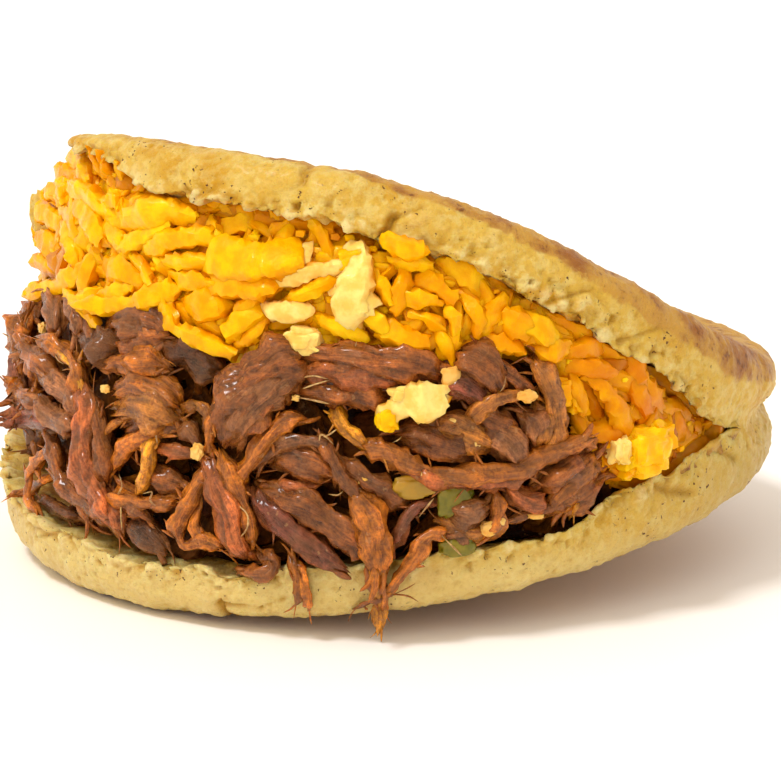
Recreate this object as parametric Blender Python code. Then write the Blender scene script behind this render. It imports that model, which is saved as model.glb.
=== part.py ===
"""A filled arepa: a corn cake split like a clam, with shredded beef and grated cheese.

+Z is up, +X runs to the right of the open front and +Y to the back. The two halves
still hang together at the back right. The lower half rests on a small flat spot.
"""
import math
import random

import bmesh
import bpy
import numpy as np
from mathutils import Vector, noise
from mathutils.bvhtree import BVHTree

MM = 0.001

# The corn cake, in millimetres
CAKE_RADIUS = 60.0
HALF_HEIGHT = 9.0
EDGE_ROUNDING = 5.0
TOP_DOME = 1.5
BELLY = 9.5
BELLY_EASE = 0.85
BELLY_EASE_AT = -35.0
BELLY_EASE_SPREAD = 55.0
BOWL = 5.0
RIM_BULGE = 2.1
RIM_BULGE_AT = -18.0
RIM_BULGE_SPREAD = 22.0
TOP_LIP = 1.9
TOP_LIP_AT = 6.0
TOP_LIP_SPREAD = 20.0
SEAM_GROOVE = 1.6
SEAM_GROOVE_AT = -8.0
SEAM_GROOVE_SPREAD = 26.0
HINGE_PINCH = 2.2
HINGE_PINCH_AT = 18.0
HINGE_PINCH_SPREAD = 32.0
CHIP_DEPTH = 9.0
CHIP_AT = 193.0
CHIP_SPREAD = 14.0
TOP_DIP = 1.1
TOP_DIP_AT = 240.0
TOP_DIP_SPREAD = 24.0
OFF_CENTRE_CUT = 4.0
OFF_CENTRE_CUT_SPREAD = 30.0

# Torn stretches of the two cut edges: direction, half width and rise
LOWER_TEARS = ((-53.0, 7.0, 2.4), (-68.0, 5.0, -0.6), (-111.0, 4.0, -0.9), (-140.0, 6.0, 0.6))
UPPER_TEARS = ((-57.0, 6.0, -1.2), (-72.0, 5.0, -0.8), (-94.0, 5.0, -0.8), (208.0, 18.0, 4.6))

# The crumbly relief of the cake and of the filling: depth and size
CRAG = 0.45
CRAG_SIZE = 7.0
CLOD = 1.2
CLOD_SIZE = 6.0

# How the halves lie and open, in millimetres and degrees
HINGE_DIRECTION = 36.4
HINGE_REACH = 46.0
LOWER_TILT = 8.27
BEND_MIDDLE = 27.65
BEND_MOUTH = 12.3
FRONT_CURL = -0.0008
BACK_CURL = 0.009
FRONT_CURL_RUN = 30.0
BACK_CURL_RUN = 90.0
TWIST = -5.3
SLIT_END = 64.0
SLIT_EASE = 27.0
MEETING = 0.45
CROTCH_REACH = 40.0
FLOOR = -17.0

# The filling
CLEARANCE = 0.45
WELD = 0.0005
BEEF_START = 92.0
BEEF_END = 264.0
CHEESE_START = 84.0
CHEESE_END = 284.0

# How much of the gap the beef fills: its share, then direction, half width and change
BEEF_SHARE = 0.63
BEEF_DIP = (245.0, 9.0, -0.05)
BEEF_RISE = (290.0, 9.0, 0.17)
BEEF_FALL = (255.0, 12.0, -0.42)

# How far the filling stands out past the rim edge, and how it draws in at the ends
BEEF_LEFT = (188.0, 30.0)
BEEF_OUT = 0.8
BEEF_OUT_LEFT = 0.6
BEEF_DRAW_IN = (244.0, 20.0, 2.0)
BEEF_SUNK = 0.8
BEEF_SUNK_LEFT = 0.4
BEEF_FOOT = (0.24, 0.2, 3.2)
CHEESE_LEFT = (185.0, 34.0)
CHEESE_IN = 1.2
CHEESE_IN_LEFT = 1.8
CHEESE_DRAW_IN = (270.0, 14.0, 1.5)
CHEESE_TOP = (0.8, 0.2, 1.6)

# What lies on the front of each heap
STRAND_COUNT = 18
SHRED_COUNT = 44

# The strands that show best: width, thickness and points along the open front, each
# the direction from the hinge, the share of the gap from below, and how far it stands out
STRANDS = (
    (8.0, 5.0, ((225.0, 0.58, 0.4), (218.0, 0.50, 1.0), (211.0, 0.36, 0.8), (208.0, 0.20, 0.0))),
    (5.5, 3.6, ((226.0, 0.57, 0.2), (234.0, 0.58, 0.8), (242.0, 0.58, 0.6), (248.0, 0.62, 0.0))),
    (5.0, 3.6, ((186.0, 0.47, 0.2), (190.0, 0.30, 1.2), (193.0, 0.15, 1.2), (194.0, 0.07, 0.4))),
    (3.6, 3.0, ((231.0, 0.38, 0.6), (240.0, 0.28, 2.0), (252.0, 0.29, 2.2), (262.0, 0.36, 1.2))),
    (3.8, 3.0, ((227.0, 0.36, 0.8), (232.0, 0.20, 2.0), (234.5, 0.03, 3.0), (234.0, -0.16, 3.0))),
    (3.2, 2.6, ((244.0, 0.13, 1.6), (240.0, 0.04, 2.8), (236.5, -0.06, 3.0))),
    (2.6, 2.4, ((221.0, 0.09, 1.4), (223.0, -0.02, 2.8), (223.5, -0.09, 2.6))),
    (7.0, 4.0, ((216.0, 0.24, 0.2), (223.0, 0.13, 0.9), (229.0, 0.09, 0.6))),
    (3.2, 2.6, ((253.0, 0.70, 0.6), (257.0, 0.52, 1.6), (256.0, 0.36, 1.0))),
    (3.6, 2.8, ((168.0, 0.50, 0.6), (160.0, 0.42, 1.8), (152.0, 0.38, 2.4))),
    (3.4, 2.6, ((180.0, 0.32, 0.6), (168.0, 0.26, 1.8), (156.0, 0.28, 2.2))),
    (3.0, 2.4, ((174.0, 0.56, 0.6), (167.0, 0.53, 1.8), (160.0, 0.52, 2.2))),
    (3.4, 2.8, ((200.0, 0.30, 0.4), (204.0, 0.16, 1.8), (209.0, 0.07, 1.4))),
    (4.6, 3.2, ((252.0, 0.16, 0.2), (258.0, 0.24, 1.2), (262.0, 0.36, 0.4))),
)

# Toppings on the beef: direction, share of the gap, width, height, thickness
CRUMB = (235.2, 0.53, 9.0, 6.6, 5.0)
PEPPERS = ((242.7, 0.215, 5.6, 5.2, 2.0), (243.8, 0.05, 4.6, 3.4, 1.8))
ONION = (237.4, 0.25, 5.4, 3.6, 1.8)

# The biggest clump of cheese, at the narrow end: direction, share of the gap, radius
CLUMP = (271.8, 0.42, 4.5)

# The middle of the whole part in plan, moved onto the origin
CENTRE_X = 0.8
CENTRE_Y = -2.5

COLUMN_STEP = 4.0
CUT_ROWS = (0.0, 0.06, 0.2, 0.5, 0.75, 1.0)
FILL_ROWS = (0.06, 0.2, 0.5, 0.75)
WALL_LEVELS = (0.1, 0.37, 0.63, 0.9)

HINGE_AXIS = np.array([math.cos(math.radians(HINGE_DIRECTION)),
                       math.sin(math.radians(HINGE_DIRECTION)), 0.0])
SIDE_AXIS = np.array([-HINGE_AXIS[1], HINGE_AXIS[0], 0.0])
UP_AXIS = np.array([0.0, 0.0, 1.0])


def smooth(x):
    """Ease from 0 to 1."""
    x = np.clip(x, 0.0, 1.0)
    return x * x * (3.0 - 2.0 * x)


def hump(angle, middle, spread):
    """A bell round one direction of the plan, in degrees."""
    away = (angle - middle + 180.0) % 360.0 - 180.0
    return np.exp(-(away / spread) ** 2)


def step(angle, middle, spread):
    """A flat-topped stretch round one direction of the plan, in degrees."""
    away = (angle - middle + 180.0) % 360.0 - 180.0
    return np.exp(-(away / spread) ** 4)


def lower_place(points):
    """The lower half leans, so that its hinge side lies higher."""
    tilt = math.radians(LOWER_TILT)
    u = points @ HINGE_AXIS
    v = points @ SIDE_AXIS
    w = points[..., 2]
    along = u * math.cos(tilt) - w * math.sin(tilt)
    height = u * math.sin(tilt) + w * math.cos(tilt)
    return (along[..., None] * HINGE_AXIS + v[..., None] * SIDE_AXIS
            + height[..., None] * UP_AXIS)


def bend_angle(x):
    """Slope of the upper half at a share x of the way from the hinge to the mouth."""
    return np.radians(4.0 * BEND_MIDDLE * x * (1.0 - x) + BEND_MOUTH * x * (2.0 * x - 1.0))


def bend_table():
    """The upper half's middle line, as steps of equal length from the hinge."""
    steps = 200
    share = np.linspace(0.0, 1.0, steps + 1)
    middle = (share[:-1] + share[1:]) / 2.0
    reach = (HINGE_REACH + CAKE_RADIUS) / steps
    run = np.concatenate([[0.0], np.cumsum(np.cos(bend_angle(middle)))]) * reach
    rise = np.concatenate([[0.0], np.cumsum(np.sin(bend_angle(middle)))]) * reach
    return share, run, rise


SHARE, RUN, RISE = bend_table()


def upper_place(points):
    """The upper half bends up from the hinge and droops at the back."""
    u = points @ HINGE_AXIS
    v = points @ SIDE_AXIS
    w = points[..., 2]
    out = HINGE_REACH - u
    x = np.clip(out / (HINGE_REACH + CAKE_RADIUS), 0.0, 1.0)
    slope = bend_angle(x)
    along = -np.interp(x, SHARE, RUN) - np.minimum(out, 0.0) + w * np.sin(slope)
    height = np.interp(x, SHARE, RISE) + w * np.cos(slope)
    curl = np.where(v < 0.0, FRONT_CURL * np.clip(out / FRONT_CURL_RUN, 0.0, 1.0),
                    BACK_CURL * np.clip(out / BACK_CURL_RUN, 0.0, 1.0))
    height = height - 0.5 * curl * v * v
    height = height + v * math.tan(math.radians(TWIST)) * x
    hinge = lower_place(HINGE_REACH * HINGE_AXIS)
    return (hinge + along[..., None] * HINGE_AXIS + v[..., None] * SIDE_AXIS
            + height[..., None] * UP_AXIS)


def place(points, weight):
    """Blend between the two halves: weight 0 is the lower one, 1 the upper one."""
    weight = np.asarray(weight)[..., None]
    return (1.0 - weight) * lower_place(points) + weight * upper_place(points)


def holding(theta):
    """1 where the halves hang together, easing to 0 past each end of the slit."""
    away = np.abs((theta + 180.0) % 360.0 - 180.0)
    return smooth(1.0 - (away - SLIT_END) / SLIT_EASE)


def rim_radius(phi, height):
    """Radius of the rim wall in one direction, at a height over the middle plane."""
    radius = CAKE_RADIUS + RIM_BULGE * hump(phi, RIM_BULGE_AT, RIM_BULGE_SPREAD)
    radius = radius + TOP_LIP * hump(phi, TOP_LIP_AT, TOP_LIP_SPREAD) * smooth(height / 4.0)
    seam = SEAM_GROOVE * hump(phi, SEAM_GROOVE_AT, SEAM_GROOVE_SPREAD)
    return radius - seam * np.exp(-(height / 1.6) ** 2)


def chip(side, phi):
    """A piece of the upper half's rim is missing at the left of the mouth."""
    away = np.abs((phi - CHIP_AT + 180.0) % 360.0 - 180.0)
    return CHIP_DEPTH * smooth((CHIP_SPREAD - away) / 6.0) * (side > 0)


def cut_height(side, phi):
    """The knife ran higher at the left, and the edges are torn."""
    height = OFF_CENTRE_CUT * hump(phi, 180.0, OFF_CENTRE_CUT_SPREAD)
    for middle, spread, rise in UPPER_TEARS if side > 0 else LOWER_TEARS:
        height = height + rise * step(phi, middle, spread)
    return height


def crags(points, size, seed):
    """Smooth noise between -1 and 1 at each point."""
    flat = points.reshape(-1, 3) / size
    values = [noise.noise(Vector((p[0] + seed, p[1], p[2]))) for p in flat]
    return np.array(values).reshape(points.shape[:-1])


def polar(radius, phi, height):
    """Points of the plan, with a height."""
    angle = np.radians(phi)
    return np.stack([radius * np.cos(angle), radius * np.sin(angle),
                     height + 0.0 * angle], axis=-1)


def dome(radius):
    """Rise of the top over its edge."""
    return TOP_DOME * (1.0 - (radius / CAKE_RADIUS) ** 2)


def belly(radius, phi):
    """Sag of the underside, flatter towards the right."""
    out = np.clip(radius / (CAKE_RADIUS - EDGE_ROUNDING), 0.0, 1.0)
    ease = BELLY_EASE * hump(phi, BELLY_EASE_AT, BELLY_EASE_SPREAD) * out
    return BELLY * (1.0 - out ** 2) * (1.0 - ease)


def skin_profile(side):
    """Steps inward from the rim: inset from the rim, height share, share of radius."""
    steps = [(0.0, 0.0, 1.0), (0.0, 0.28, 1.0)]
    base = 1.0 - EDGE_ROUNDING / HALF_HEIGHT
    for turn in (0.0, 35.0, 65.0, 90.0):
        inset = EDGE_ROUNDING * (1.0 - math.cos(math.radians(turn)))
        height = base + (1.0 - base) * math.sin(math.radians(turn))
        steps.append((inset, height, 1.0))
    for share in (0.75, 0.4) if side > 0 else (0.7, 0.45, 0.2):
        steps.append((EDGE_ROUNDING, 1.0, share))
    return steps


def skin_rings(side, theta):
    """Rings of the outer skin from the rim inward; side is 1 on top, -1 below."""
    phi = theta + HINGE_DIRECTION
    cut = np.where(holding(theta) < 1.0, cut_height(side, phi), 0.0)
    pinch = HINGE_PINCH * hump(phi, HINGE_PINCH_AT, HINGE_PINCH_SPREAD)
    dip = TOP_DIP * hump(phi, TOP_DIP_AT, TOP_DIP_SPREAD)
    rings = []
    for inset, share, scale in skin_profile(side):
        height = share * HALF_HEIGHT
        radius = (rim_radius(phi, side * height) - chip(side, phi) - inset) * scale
        z = side * height + cut * (1.0 - share)
        if side > 0:
            z = z + dome(radius) * share ** 2 - pinch * share * scale ** 2 - dip * share ** 2
        else:
            z = z - belly(radius, phi) * share ** 2
        weight = holding(theta) * (1.0 - share) ** 2
        weight = 1.0 - (1.0 - MEETING) * weight if side > 0 else MEETING * weight
        points = polar(radius, phi, z)
        rough = CRAG * crags(points, CRAG_SIZE, 3.0)
        points = points + rough[..., None] * polar(np.ones_like(phi), phi, 0.3 * side)
        rings.append(place(points, weight))
    return rings


def crotch(theta):
    """The bottom of the slit, for each direction of the mouth."""
    share = (theta - SLIT_END) / (360.0 - 2.0 * SLIT_END)
    end = polar(rim_radius(SLIT_END + HINGE_DIRECTION, 0.0), SLIT_END + HINGE_DIRECTION, 0.0)
    other = polar(rim_radius(HINGE_DIRECTION - SLIT_END, 0.0), HINGE_DIRECTION - SLIT_END, 0.0)
    straight = end + share[..., None] * (other - end)
    lift = (CROTCH_REACH - end @ HINGE_AXIS) * (1.0 - (2.0 * share - 1.0) ** 2)
    return straight + lift[..., None] * HINGE_AXIS


def cut_row(side, theta, row, rough=True):
    """One row of a cut face; row 0 is the rim edge and row 1 the bottom of the slit."""
    phi = theta + HINGE_DIRECTION
    missing = chip(side, phi) if rough else 0.0
    rim = polar(rim_radius(phi, 0.0) - missing, phi, 0.0)
    points = rim + row * (crotch(theta) - rim)
    sink = 4.0 * row * (1.0 - row)
    height = cut_height(side, phi) * (1.0 - row) ** 2
    height = height + sink * (1.0 if side > 0 else -BOWL)
    points = points + height[..., None] * UP_AXIS
    if rough:
        lump = CRAG * crags(points, CRAG_SIZE, 3.0) * (1.0 - row)
        points = points + lump[..., None] * polar(np.ones_like(phi), phi, 0.3 * side)
    weight = holding(theta) * (1.0 - row) ** 2 + smooth((row - 0.7) / 0.3)
    weight = np.minimum(weight, 1.0)
    weight = 1.0 - (1.0 - MEETING) * weight if side > 0 else MEETING * weight
    return place(points, weight)


def on_floor(points):
    """Flatten what would reach below the surface that the cake lies on."""
    points = points.copy()
    points[..., 2] = np.maximum(points[..., 2], FLOOR)
    return points


class Builder:
    """Collects vertices and faces of one closed body."""

    def __init__(self):
        self.points = []
        self.faces = []

    def add(self, point):
        self.points.append(tuple(point))
        return len(self.points) - 1

    def ring(self, points):
        return [self.add(point) for point in points]

    def face(self, *corners):
        kept = []
        for corner in corners:
            if corner not in kept:
                kept.append(corner)
        if len(kept) > 2:
            self.faces.append(kept)

    def strip(self, first, second, closed):
        count = len(first)
        for i in range(count if closed else count - 1):
            j = (i + 1) % count
            self.face(first[i], first[j], second[j])
            self.face(first[i], second[j], second[i])


def bread():
    """The corn cake, as one closed skin round both halves."""
    theta = np.arange(0.0, 360.0, COLUMN_STEP)
    body = Builder()
    top = [on_floor(ring) for ring in skin_rings(1, theta)]
    low = [on_floor(ring) for ring in skin_rings(-1, theta)]
    joined = holding(theta) >= 1.0
    top_rings = [body.ring(ring) for ring in top]
    low_rings = [body.ring(low[0])] + [body.ring(ring) for ring in low[1:]]
    for i, together in enumerate(joined):
        if together:
            low_rings[0][i] = top_rings[0][i]
    for outer, inner in zip(top_rings, top_rings[1:]):
        body.strip(outer, inner, True)
    for outer, inner in zip(low_rings, low_rings[1:]):
        body.strip(inner, outer, True)
    for rings, points, turned in ((top_rings, top, False), (low_rings, low, True)):
        middle = points[-1].mean(axis=0)
        if turned:
            middle[2] = FLOOR
        middle = body.add(middle)
        last = rings[-1]
        for i in range(len(last)):
            j = (i + 1) % len(last)
            if turned:
                body.face(last[j], last[i], middle)
            else:
                body.face(last[i], last[j], middle)
    cut_faces(body, theta, top_rings[0], low_rings[0])
    return body


def cut_faces(body, theta, top_edge, low_edge):
    """The two faces that the slit left, from each rim edge to the bottom of the slit."""
    mouth = [i for i, angle in enumerate(theta) if SLIT_END <= angle <= 360.0 - SLIT_END]
    angles = theta[mouth]
    shared = None
    for side, edge in ((-1, low_edge), (1, top_edge)):
        rows = [[edge[i] for i in mouth]]
        for row in CUT_ROWS[1:]:
            if row == 1.0 and shared is not None:
                rows.append(shared)
                continue
            ids = body.ring(cut_row(side, angles, row))
            ids[0] = rows[0][0]
            ids[-1] = rows[0][-1]
            rows.append(ids)
        shared = rows[-1]
        for outer, inner in zip(rows, rows[1:]):
            if side > 0:
                body.strip(inner, outer, False)
            else:
                body.strip(outer, inner, False)


def beef_share(theta):
    """Share of the gap that the beef fills from below."""
    phi = theta + HINGE_DIRECTION
    share = BEEF_SHARE + 0.0 * phi
    for middle, spread, rise in (BEEF_DIP, BEEF_RISE):
        share = share + rise * hump(phi, middle, spread)
    start, run, change = BEEF_FALL
    return share + change * smooth((theta - start) / run)


def beef_bulge(theta, level):
    """How far the beef stands out past the rim, by direction and share of the gap."""
    left = hump(theta + HINGE_DIRECTION, *BEEF_LEFT)
    start, run, draw = BEEF_DRAW_IN
    out = BEEF_OUT + BEEF_OUT_LEFT * left - draw * smooth((theta - start) / run)
    height, ease, foot = BEEF_FOOT
    sunk = BEEF_SUNK + BEEF_SUNK_LEFT * left + foot * left * smooth((height - level) / ease)
    middle = 1.0 - (2.0 * level / BEEF_SHARE - 1.0) ** 2
    return out * middle - sunk


def cheese_bulge(theta, level):
    """The same for the cheese, which lies further in under the upper half."""
    left = hump(theta + HINGE_DIRECTION, *CHEESE_LEFT)
    start, run, draw = CHEESE_DRAW_IN
    out = -CHEESE_IN - CHEESE_IN_LEFT * left - draw * smooth((theta - start) / run)
    height, ease, top = CHEESE_TOP
    return out - top * smooth((level - height) / ease)


def gap_point(theta, row, level, lift=0.0):
    """A point between the cut faces: level 0 is the lower one, 1 the upper one."""
    low = cut_row(-1, theta, row)
    high = cut_row(1, theta, row)
    rise = high - low
    length = np.linalg.norm(rise, axis=-1, keepdims=True)
    return low + rise * level[..., None] + rise / length * lift


def wall_point(theta, level, out):
    """A point on the open front of the filling, moved outward by out."""
    low = cut_row(-1, theta, 0.0, rough=False)
    high = cut_row(1, theta, 0.0, rough=False)
    outward = polar(np.ones_like(theta), theta + HINGE_DIRECTION, 0.0)
    return low + (high - low) * level[..., None] + outward * out[..., None]


def fill_core(start, end, bottom, ceiling, bulge, seed):
    """A closed body between two shares of the gap, from the front to deep inside."""
    theta = np.arange(start, end + 0.5 * COLUMN_STEP, COLUMN_STEP)
    low = bottom(theta)
    high = ceiling(theta)
    loops = []
    for row in reversed(FILL_ROWS):
        loops.append(gap_point(theta, row, low, CLEARANCE))
    for share in WALL_LEVELS:
        level = low + (high - low) * share
        out = bulge(theta, level)
        wall = wall_point(theta, level, out)
        lump = CLOD * crags(wall, CLOD_SIZE, seed)[..., None]
        outward = polar(np.ones_like(theta), theta + HINGE_DIRECTION, 0.0)
        loops.append(wall + outward * lump)
    for row in FILL_ROWS:
        loops.append(gap_point(theta, row, high, -CLEARANCE))
    body = Builder()
    columns = [body.ring([loop[i] for loop in loops]) for i in range(len(theta))]
    for first, second in zip(columns, columns[1:]):
        body.strip(second, first, True)
    for column, turned in ((columns[0], False), (columns[-1], True)):
        for i in range(len(FILL_ROWS) + len(WALL_LEVELS) // 2 - 1):
            j = len(column) - 1 - i
            corners = (column[i], column[i + 1], column[j - 1], column[j])
            body.face(*(reversed(corners) if turned else corners))
    return body


def curve_through(points, count):
    """Points evenly along a smooth curve through a few given ones."""
    points = np.asarray(points, float)
    first = 2.0 * points[0] - points[1]
    last = 2.0 * points[-1] - points[-2]
    knots = np.vstack([first, points, last])
    spots = np.linspace(0.0, len(points) - 1.0, count)
    piece = np.minimum(spots.astype(int), len(points) - 2)
    t = (spots - piece)[:, None]
    p0, p1, p2, p3 = (knots[piece + i] for i in range(4))
    return 0.5 * (2.0 * p1 + (p2 - p0) * t + (2.0 * p0 - 5.0 * p1 + 4.0 * p2 - p3) * t ** 2
                  + (3.0 * p1 - p0 - 3.0 * p2 + p3) * t ** 3)


def strip_body(path, outward, width, thickness, sides):
    """A flat strand along a path, narrower at both ends."""
    run = np.gradient(path, axis=0)
    across = np.cross(outward, run)
    across = across / np.linalg.norm(across, axis=1, keepdims=True)
    upright = np.cross(run, across)
    upright = upright / np.linalg.norm(upright, axis=1, keepdims=True)
    share = np.linspace(0.0, 1.0, len(path))
    taper = 0.35 + 0.65 * np.sin(np.pi * np.clip(share, 0.06, 0.94)) ** 0.6
    body = Builder()
    rings = []
    for i, size in enumerate(taper):
        turn = 2.0 * np.pi * (np.arange(sides) + 0.5) / sides
        ring = (path[i] + np.outer(np.cos(turn), across[i]) * width * size / 2.0
                + np.outer(np.sin(turn), upright[i]) * thickness * size / 2.0)
        rings.append(body.ring(ring))
    for first, second in zip(rings, rings[1:]):
        body.strip(first, second, True)
    body.face(*reversed(rings[0]))
    body.face(*rings[-1])
    return body


def strand_body(points, width, thickness, bulge, sides, count):
    """A strand that lies on the open front of the filling."""
    spots = curve_through(points, count)
    theta, level, out = spots.T
    path = wall_point(theta, level, bulge(theta, np.clip(level, 0.0, 1.0)) + out)
    outward = polar(np.ones_like(theta), theta + HINGE_DIRECTION, 0.0)
    return strip_body(path, outward, width, thickness, sides)


def gap_height(theta):
    """Distance between the two rim edges."""
    theta = np.atleast_1d(theta)
    low = cut_row(-1, theta, 0.0, rough=False)
    high = cut_row(1, theta, 0.0, rough=False)
    return np.linalg.norm(high - low, axis=-1)


def scattered(count, start, end, floor, ceiling, sizes, seed):
    """Evenly spread strips on the open front, turned at random but seeded."""
    draw = random.Random(seed)
    result = []
    for i in range(count):
        middle = start + (end - start) * (i + draw.uniform(0.2, 0.8)) / count
        length = draw.uniform(*sizes["length"])
        width = draw.uniform(*sizes["width"])
        lean = math.radians(draw.uniform(-sizes["lean"], sizes["lean"]))
        height = float(gap_height(middle)[0])
        low = float(floor(np.array([middle]))[0])
        high = float(ceiling(np.array([middle]))[0])
        level = low + (high - low) * (i * 0.618034 % 1.0)
        points = []
        for share in (-0.5, 0.0, 0.5):
            theta = middle + math.degrees(share * length * math.cos(lean) / CAKE_RADIUS)
            theta = min(max(theta, start), end)
            rise = level + share * length * math.sin(lean) / height
            rise = rise + draw.uniform(-0.02, 0.02)
            margin = (0.55 * width + 0.9) / float(gap_height(theta)[0])
            nearby = theta + np.array([-2.5, -1.0, 0.0, 1.0, 2.5])
            bottom = float(floor(nearby).max()) + margin
            roof = float(ceiling(nearby).min()) - margin
            if roof <= bottom:
                break
            rise = min(max(rise, bottom), roof)
            points.append((theta, rise, draw.uniform(*sizes["out"])))
        if len(points) == 3:
            result.append((width, width * sizes["flat"], tuple(points)))
    return result


def mesh_object(name, body, finish):
    """A body as an object in metres, standing on the floor about the origin."""
    mesh = bpy.data.meshes.new(name)
    moved = [((x - CENTRE_X) * MM, (y - CENTRE_Y) * MM, (z - FLOOR) * MM)
             for x, y, z in body.points]
    mesh.from_pydata(moved, [], body.faces)
    shape = bmesh.new()
    shape.from_mesh(mesh)
    loose = [vertex for vertex in shape.verts if not vertex.link_faces]
    bmesh.ops.delete(shape, geom=loose, context="VERTS")
    bmesh.ops.triangulate(shape, faces=shape.faces[:])
    shape.to_mesh(mesh)
    shape.free()
    mesh.materials.append(finish)
    result = bpy.data.objects.new(name, mesh)
    bpy.context.scene.collection.objects.link(result)
    return result


def volume(faces):
    """Signed volume inside a set of triangles."""
    total = 0.0
    for face in faces:
        a, b, c = (vertex.co for vertex in face.verts)
        total += a.dot(b.cross(c)) / 6.0
    return total


def keep_largest(shape):
    """Drop sealed hollows and loose scraps."""
    left = set(shape.faces)
    shells = []
    while left:
        start = left.pop()
        shell = {start}
        edge = [start]
        while edge:
            face = edge.pop()
            for side in face.edges:
                for other in side.link_faces:
                    if other in left:
                        left.discard(other)
                        shell.add(other)
                        edge.append(other)
        shells.append(shell)
    shells.sort(key=volume)
    scraps = [face for shell in shells[:-1] for face in shell]
    bmesh.ops.delete(shape, geom=scraps, context="FACES")


def fuse(core, bodies):
    """One union of a core with everything that lies on it."""
    pieces = bpy.data.collections.new(core.name + "_pieces")
    bpy.context.scene.collection.children.link(pieces)
    for i, body in enumerate(bodies):
        piece = mesh_object(f"{core.name}_{i}", body, core.data.materials[0])
        bpy.context.scene.collection.objects.unlink(piece)
        pieces.objects.link(piece)
    union = core.modifiers.new("union", "BOOLEAN")
    union.operation = "UNION"
    union.solver = "MANIFOLD"
    union.operand_type = "COLLECTION"
    union.collection = pieces
    bpy.context.view_layer.update()
    view = bpy.context.evaluated_depsgraph_get()
    fused = bpy.data.meshes.new_from_object(core.evaluated_get(view))
    core.modifiers.clear()
    shape = bmesh.new()
    shape.from_mesh(fused)
    bmesh.ops.triangulate(shape, faces=shape.faces[:])
    bmesh.ops.remove_doubles(shape, verts=shape.verts[:], dist=WELD * MM)
    bmesh.ops.dissolve_degenerate(shape, edges=shape.edges[:], dist=WELD * MM)
    bmesh.ops.triangulate(shape, faces=shape.faces[:])
    keep_largest(shape)
    shape.to_mesh(fused)
    shape.free()
    core.data = fused
    for piece in list(pieces.objects):
        bpy.data.objects.remove(piece)
    bpy.data.collections.remove(pieces)


def lump_body(centre, outward, size, squareness, seed):
    """A closed uneven lump with a width, a height and a thickness along outward."""
    across = np.cross(UP_AXIS, outward)
    across = across / np.linalg.norm(across)
    upright = np.cross(outward, across)
    shape = bmesh.new()
    bmesh.ops.create_icosphere(shape, subdivisions=2, radius=1.0)
    body = Builder()
    for vertex in shape.verts:
        unit = np.array(vertex.co)
        unit = np.sign(unit) * np.abs(unit) ** squareness
        unit = unit * (1.0 + 0.18 * noise.noise(vertex.co * 1.7 + Vector((seed, 0.0, 0.0))))
        spot = (centre + across * unit[0] * size[0] / 2.0 + upright * unit[1] * size[1] / 2.0
                + outward * unit[2] * size[2] / 2.0)
        body.add(spot)
    shape.verts.index_update()
    for face in shape.faces:
        body.face(*(vertex.index for vertex in face.verts))
    shape.free()
    return body


def topping(name, spot, squareness, seed, beef, finish):
    """A piece that lies on the beef: it is moved in until it nearly touches."""
    theta, level, width, height, thickness = spot
    angle = np.array([theta])
    outward = polar(1.0, theta + HINGE_DIRECTION, 0.0)
    start = wall_point(angle, np.array([level]), np.array([20.0]))[0]
    body = lump_body(start, outward, (width, height, thickness), squareness, seed)
    tree = BVHTree.FromPolygons([v.co for v in beef.data.vertices],
                                [p.vertices for p in beef.data.polygons])
    points = np.array(body.points)
    probes = list(points)
    for face in body.faces:
        probes.append(points[list(face)].mean(axis=0))
        for a, b in zip(face, face[1:] + face[:1]):
            probes.append((points[a] + points[b]) / 2.0)
    shift = np.array([CENTRE_X, CENTRE_Y, FLOOR])
    room = []
    for probe in probes:
        hit = tree.ray_cast(Vector((probe - shift) * MM), Vector(-outward))
        if hit[3] is not None:
            room.append(hit[3] / MM)
    move = min(room) - CLEARANCE
    body.points = [tuple(point) for point in points - outward * move]
    return mesh_object(name, body, finish)


def material(name, colour, roughness):
    """A plain finish in the part's colour."""
    finish = bpy.data.materials.new(name)
    finish.use_nodes = True
    shader = finish.node_tree.nodes["Principled BSDF"]
    shader.inputs["Base Color"].default_value = (*colour, 1.0)
    shader.inputs["Roughness"].default_value = roughness
    shader.inputs["Metallic"].default_value = 0.0
    return finish


def no_floor(theta):
    """The lower half itself."""
    return 0.0 * theta


def no_ceiling(theta):
    """The upper half itself."""
    return 0.0 * theta + 1.0


def cheese_floor(theta):
    """Where the beef ends, the cheese reaches down to the lower half."""
    return beef_share(theta) * (1.0 - smooth((theta - BEEF_END - 2.0) / COLUMN_STEP))


def make_beef(finish):
    """The heap of shredded beef, with the strands that show."""
    core = fill_core(BEEF_START, BEEF_END, no_floor, beef_share, beef_bulge, 11.0)
    beef = mesh_object("shredded_beef", core, finish)
    sizes = {"length": (14.0, 28.0), "width": (3.0, 4.8), "lean": 70.0,
             "out": (0.1, 1.1), "flat": 0.75}
    more = scattered(STRAND_COUNT, BEEF_START + 4.0, BEEF_END - 4.0, no_floor, beef_share,
                     sizes, 5)
    bodies = [strand_body(points, width, thickness, beef_bulge, 5, 7)
              for width, thickness, points in STRANDS]
    bodies += [strand_body(points, width, thickness, beef_bulge, 5, 5)
               for width, thickness, points in more]
    fuse(beef, bodies)
    return beef


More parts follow.
